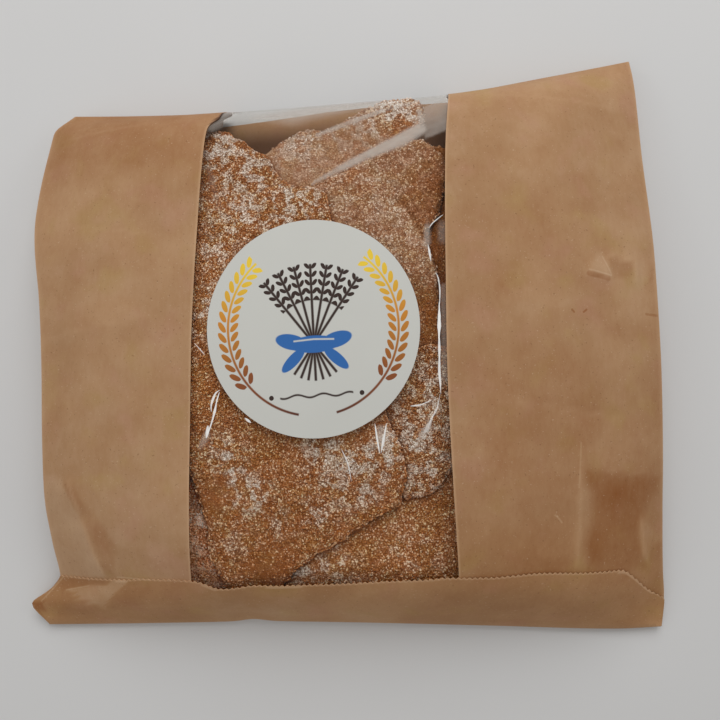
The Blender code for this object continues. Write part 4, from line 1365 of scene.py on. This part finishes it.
def crispColour(look, level, share):
    # grains differ in lightness only, and flour slowly changes the hue
    crisp, floury = [look.ramp(level, crispTones[name]) for name in ("crisp", "floury")]
    return look.blendColour(share, crisp, floury)


def crispFinish():
    look = Finish("ryeCrispbread")
    tone, crisp = [look.attribute(name) for name in ("tone", "crisp")]
    places = look.nudged(*crispGrain["uneven"])
    broad = look.noise(crispGrain["broad"], Detail=2.0)
    middle = look.noise(crispGrain["middle"], Detail=3.0)
    fine = look.noise(crispGrain["fine"], Detail=2.0)
    # big and small cells, each with its own random numbers
    pick, luck, chance = look.split(look.cells(crispGrain["cells"], places, 1))
    smallPick, smallLuck, _ = look.split(look.cells(crispGrain["smallCells"], places, 1))
    gap = look.cells(crispGrain["cells"], places, 0, "DISTANCE_TO_EDGE")
    solid = look.soft(gap, 0.0, 0.17)
    share = flourShare(look, middle)
    vary = (pick - 0.5) * 0.18 + (smallPick - 0.5) * 0.46 + (broad - 0.5) * 0.26
    # darker towards the cells' edges: partly the crumb's own colour, partly painted shade in the gaps
    # between grains
    vary = vary + (middle - 0.5) * 0.22 + (solid - 0.7) * 0.26
    # pale specks: partly light grains, partly painted sparkle
    glitter = look.soft(smallLuck, 0.86, 0.93) * 0.50
    floury = look.soft(share * 0.9 - luck, -0.05, 0.08) * 0.40 - share * 0.11
    level = 0.47 + (vary + glitter + floury) * crisp + (tone - 0.5) * 0.5
    # painted shadow along the edges of the chips that lie over this one
    level = level * (1.0 - look.attribute("step") * 0.9)
    base = crispColour(look, level, share)
    hue = look.soft(look.noise(crispGrain["hue"], Detail=2.0), 0.42, 0.60)
    hue = hue * (0.75 - share * 0.55)
    hue = hue * (1.0 - look.soft(level, 0.75, 1.0) * share)
    base = look.blendColour(hue, base, crispTones["green"], "MULTIPLY")
    # painted light: the chip that lies deep in shade is made warmer and brighter
    base = look.blendColour(look.attribute("warm"), base, crispTones["warm"], "MULTIPLY")
    height = solid * 0.7 + pick * 0.35 + fine * 0.3 + smallPick * 0.15 + chance * 0.1
    look.set(Base_Color=base, Roughness=0.80 + share * 0.15,
             Normal=look.bump(height, crispGrain["relief"], 1.0),
             Specular_IOR_Level=crispTones["gloss"])
    return look.material


def grainFinish():
    look = Finish("ryeGrain")
    middle = look.noise(crispGrain["middle"], Detail=3.0)
    fine = look.noise(crispGrain["looseFine"], Detail=2.0)
    share = flourShare(look, middle)
    level = look.attribute("tone") + (fine - 0.5) * 0.35 + share * 0.1
    normal = look.bump(fine, crispGrain["looseRelief"], crispGrain["looseReliefShare"])
    look.set(Base_Color=crispColour(look, level, share), Roughness=0.75 + fine * 0.2,
             Normal=normal, Specular_IOR_Level=crispTones["gloss"])
    return look.material


# Lengths are shares of the label's radius, and angles run from its bottom up both sides

labelInk = {"paper": (0.625, 0.625, 0.585), "shadow": (0.600, 0.600, 0.560),
            "brown": (0.040, 0.022, 0.017), "blue": (0.030, 0.140, 0.42),
            "wreath": 0.80, "stemStart": 0.22, "seedStart": 0.9, "wreathEnd": 2.45,
            "seedStep": 0.112, "stem": 0.011, "seedAside": 0.058,
            "tieY": -0.16, "fan": 0.215, "stalks": 7, "stalkTop": 0.74, "stalkFoot": 0.33,
            "stalk": 0.0125, "huskFoot": 0.40, "huskStep": 0.078, "huskAside": 0.034,
            "ruleY": -0.62, "ruleEnd": 0.34, "dotX": 0.42, "dot": 0.022,
            "ears": [(0.05, (0.085, 0.022, 0.012)), (0.40, (0.26, 0.075, 0.02)),
                     (0.70, (0.62, 0.25, 0.03)), (0.95, (0.86, 0.60, 0.05))]}


def labelFinish():
    look = Finish("labelPaper")
    wide, tall, _ = look.split(look.places())
    turn, radius = labelParts["turn"], labelParts["radius"] * mm
    dx = (wide - labelParts["centre"][0] * mm) / radius
    dy = (tall - labelParts["centre"][1] * mm) / (radius * labelParts["tall"])
    x = dx * math.cos(turn) + dy * math.sin(turn)
    y = dy * math.cos(turn) - dx * math.sin(turn)

    def inside(value):
        return look.soft(value, 0.006, -0.006)

    def ellipse(px, py, wideHalf, tallHalf, lean=0.0):
        a = px * math.cos(lean) + py * math.sin(lean)
        b = py * math.cos(lean) - px * math.sin(lean)
        squared = (a / wideHalf) ** 2.0 + (b / tallHalf) ** 2.0
        return look.soft(squared, 1.12, 0.88)

    def between(value, low, high):
        return inside(low - value) * inside(value - high)

    def size(px, py):
        return (px ** 2.0 + py ** 2.0) ** 0.5

    side = abs(x)
    # two ears of rye round the rim, brown below and gold at their tips
    angle, end = look.maths("ARCTAN2", side, 0.0 - y), labelInk["wreathEnd"]
    rim = size(x, y) - labelInk["wreath"]
    step = labelInk["seedStep"]
    along = ((angle + 10 * step) % step - step / 2) * labelInk["wreath"]
    aside = labelInk["seedAside"]
    seeds = look.larger(ellipse(along, rim - aside, 0.056, 0.024, 0.65),
                        ellipse(along, rim + aside, 0.056, 0.024, -0.65))
    stem = inside(abs(rim) - labelInk["stem"]) * between(angle, labelInk["stemStart"], end)
    wreath = look.larger(stem, seeds * between(angle, labelInk["seedStart"], end))
    gold = look.ramp(angle / end, labelInk["ears"])
    # a sheaf of dark stalks that fan out from its tie
    rise = y - labelInk["tieY"]
    reach = size(x, rise)
    lean = look.maths("ARCTAN2", x, abs(rise))
    fan = labelInk["fan"]
    cell = ((lean + 10.5 * fan) % fan - fan / 2) * reach
    top, foot, huskStep = labelInk["stalkTop"], labelInk["stalkFoot"], labelInk["huskStep"]
    stalkEnd = foot + (rise > 0) * (top - foot)
    stalk = inside(abs(cell) - labelInk["stalk"]) * inside(reach - stalkEnd)
    beat = (reach + 10.0) % huskStep - huskStep / 2
    aside = labelInk["huskAside"]
    husks = look.larger(ellipse(cell - aside, beat, 0.036, 0.017, 0.9),
                        ellipse(cell + aside, beat, 0.036, 0.017, -0.9))
    husks = husks * between(reach, labelInk["huskFoot"], top + 0.01) * (rise > 0)
    sheaf = look.larger(stalk, husks) * inside(abs(lean) - fan * labelInk["stalks"] / 2)
    # a blue ribbon round the sheaf with two tails, and a pale line on it
    knot = ellipse(x, rise, 0.235, 0.078)
    tails = ellipse(side - 0.20, rise + 0.135, 0.145, 0.050, -0.75)
    bows = ellipse(side - 0.21, rise - 0.030, 0.150, 0.070, 0.25)
    ribbon = look.larger(knot, look.larger(tails, bows))
    trim = inside(abs(rise - 0.045 + side * 0.05) - 0.007) * inside(side - 0.19)
    # a thin waving rule with a dot at each side
    low = y - labelInk["ruleY"]
    wave = look.maths("SINE", x * 26.0) * 0.014
    rule = inside(abs(low - wave) - 0.009) * inside(side - labelInk["ruleEnd"])
    dots = ellipse(side - labelInk["dotX"], low, labelInk["dot"], labelInk["dot"])

    fibre = look.noise(1500, Detail=3.0)
    paper = look.blendColour(look.noise(60, Detail=2.0), labelInk["shadow"], labelInk["paper"])
    dark = look.larger(sheaf, look.larger(rule, dots))
    for part, ink in ((wreath, gold), (dark, labelInk["brown"]), (ribbon, labelInk["blue"]),
                      (trim, labelInk["paper"])):
        paper = look.blendColour(part, paper, ink)
    look.set(Base_Color=paper, Roughness=0.40 + fibre * 0.12,
             Normal=look.bump(fibre, 0.00003, 0.3))
    return look.material


floorTones = {"deep": (0.64, 0.638, 0.635), "pale": (0.68, 0.678, 0.675)}


def floorFinish():
    look = Finish("paleFloor")
    cloud = look.noise(9, Detail=3.0)
    fine = look.noise(240, Detail=2.0)
    base = look.blendColour(cloud, floorTones["deep"], floorTones["pale"])
    look.set(Base_Color=base, Roughness=0.7 + fine * 0.1, Normal=look.bump(fine, 0.0001, 0.2))
    return look.material


# Stage

stageParts = {"floorSize": 6.0, "cameraPlace": (4.9, -40.2, 275.0), "cameraTilt": math.radians(6.0),
              "focal": 640.0, "frameSide": 720.0, "sensor": 36.0, "nearest": 0.01,
              "worldStrength": 0.335, "worldColour": (1.0, 0.985, 0.965, 1)}
# Lamps: (name, place in metres, size, power, whether the film mirrors it)

lamps = [("key", (0.08, 0.75, 0.75), 0.9, 6.7, False),
         ("fill", (-0.5, -0.5, 0.9), 1.2, 1.8, False),
         ("glintLeft", (-0.75, 0.25, 0.55), 0.22, 0.35, True),
         ("glintRight", (0.75, 0.25, 0.55), 0.22, 0.35, True)]


def makeStage():
    nothingSelected()
    bpy.ops.mesh.primitive_plane_add(size=stageParts["floorSize"])
    floor = named("floor")
    floor.data.materials.append(floorFinish())
    for name, place, size, power, mirrored in lamps:
        bpy.ops.object.light_add(type="AREA", location=place)
        lamp = bpy.context.object
        lamp.name = name + "Light"
        lamp.data.shape = "DISK"
        lamp.data.size = size
        lamp.data.energy = power
        lamp.rotation_euler = (-Vector(place)).to_track_quat("-Z", "Y").to_euler()
        lamp.visible_glossy = mirrored
    world = bpy.data.worlds.new("softRoom")
    world.use_nodes = True
    sky = world.node_tree.nodes["Background"].inputs
    sky["Color"].default_value = stageParts["worldColour"]
    sky["Strength"].default_value = stageParts["worldStrength"]
    bpy.context.scene.world = world
    place = [value * mm for value in stageParts["cameraPlace"]]
    bpy.ops.object.camera_add(location=place, rotation=(stageParts["cameraTilt"], 0, 0))
    camera = bpy.context.object
    camera.data.sensor_width = stageParts["sensor"]
    camera.data.lens = stageParts["focal"] / stageParts["frameSide"] * stageParts["sensor"]
    camera.data.clip_start = stageParts["nearest"]
    bpy.context.scene.camera = camera
    bpy.context.scene.view_settings.view_transform = "Standard"


# Putting it together

makeStage()
print("stage: floor, lights and camera")
kraft = kraftFinish()
bag, flap = makeBag(), makeFlap()
placed(bag, kraft, "kraft_paper", "paper_bag")
placed(flap, kraft, "kraft_paper")
print("paper: bag and bottom flap")
film, glints, clear = makeFilm(), makeGlints(), filmFinish()
film.visible_shadow = glints.visible_shadow = False
placed(film, clear, "clear_film", "window_film")
placed(glints, clear, "clear_film")
print("film: window and its wrinkles")
placed(makeLabel(), labelFinish(), "label_paper", "label")
print("label: round sticker")
crisp = crispFinish()
placed(makeHeap(), crisp, "crispbread")
print("chips below: a heap")
chips = []
for node, looks in chipLooks.items():
    chip = makeChip(node, looks)
    above = [other for other, _ in chips]
    settle(chip, above)
    shadeSteps(chip, above, looks.get("line", settleParts["line"]))
    placed(chip, crisp, "crispbread", node)
    chips.append((chip, looks))
print("chips:", len(chips))
placed(makeGrains(chips), grainFinish(), "crispbread")
print("grains:", grainParts["count"])
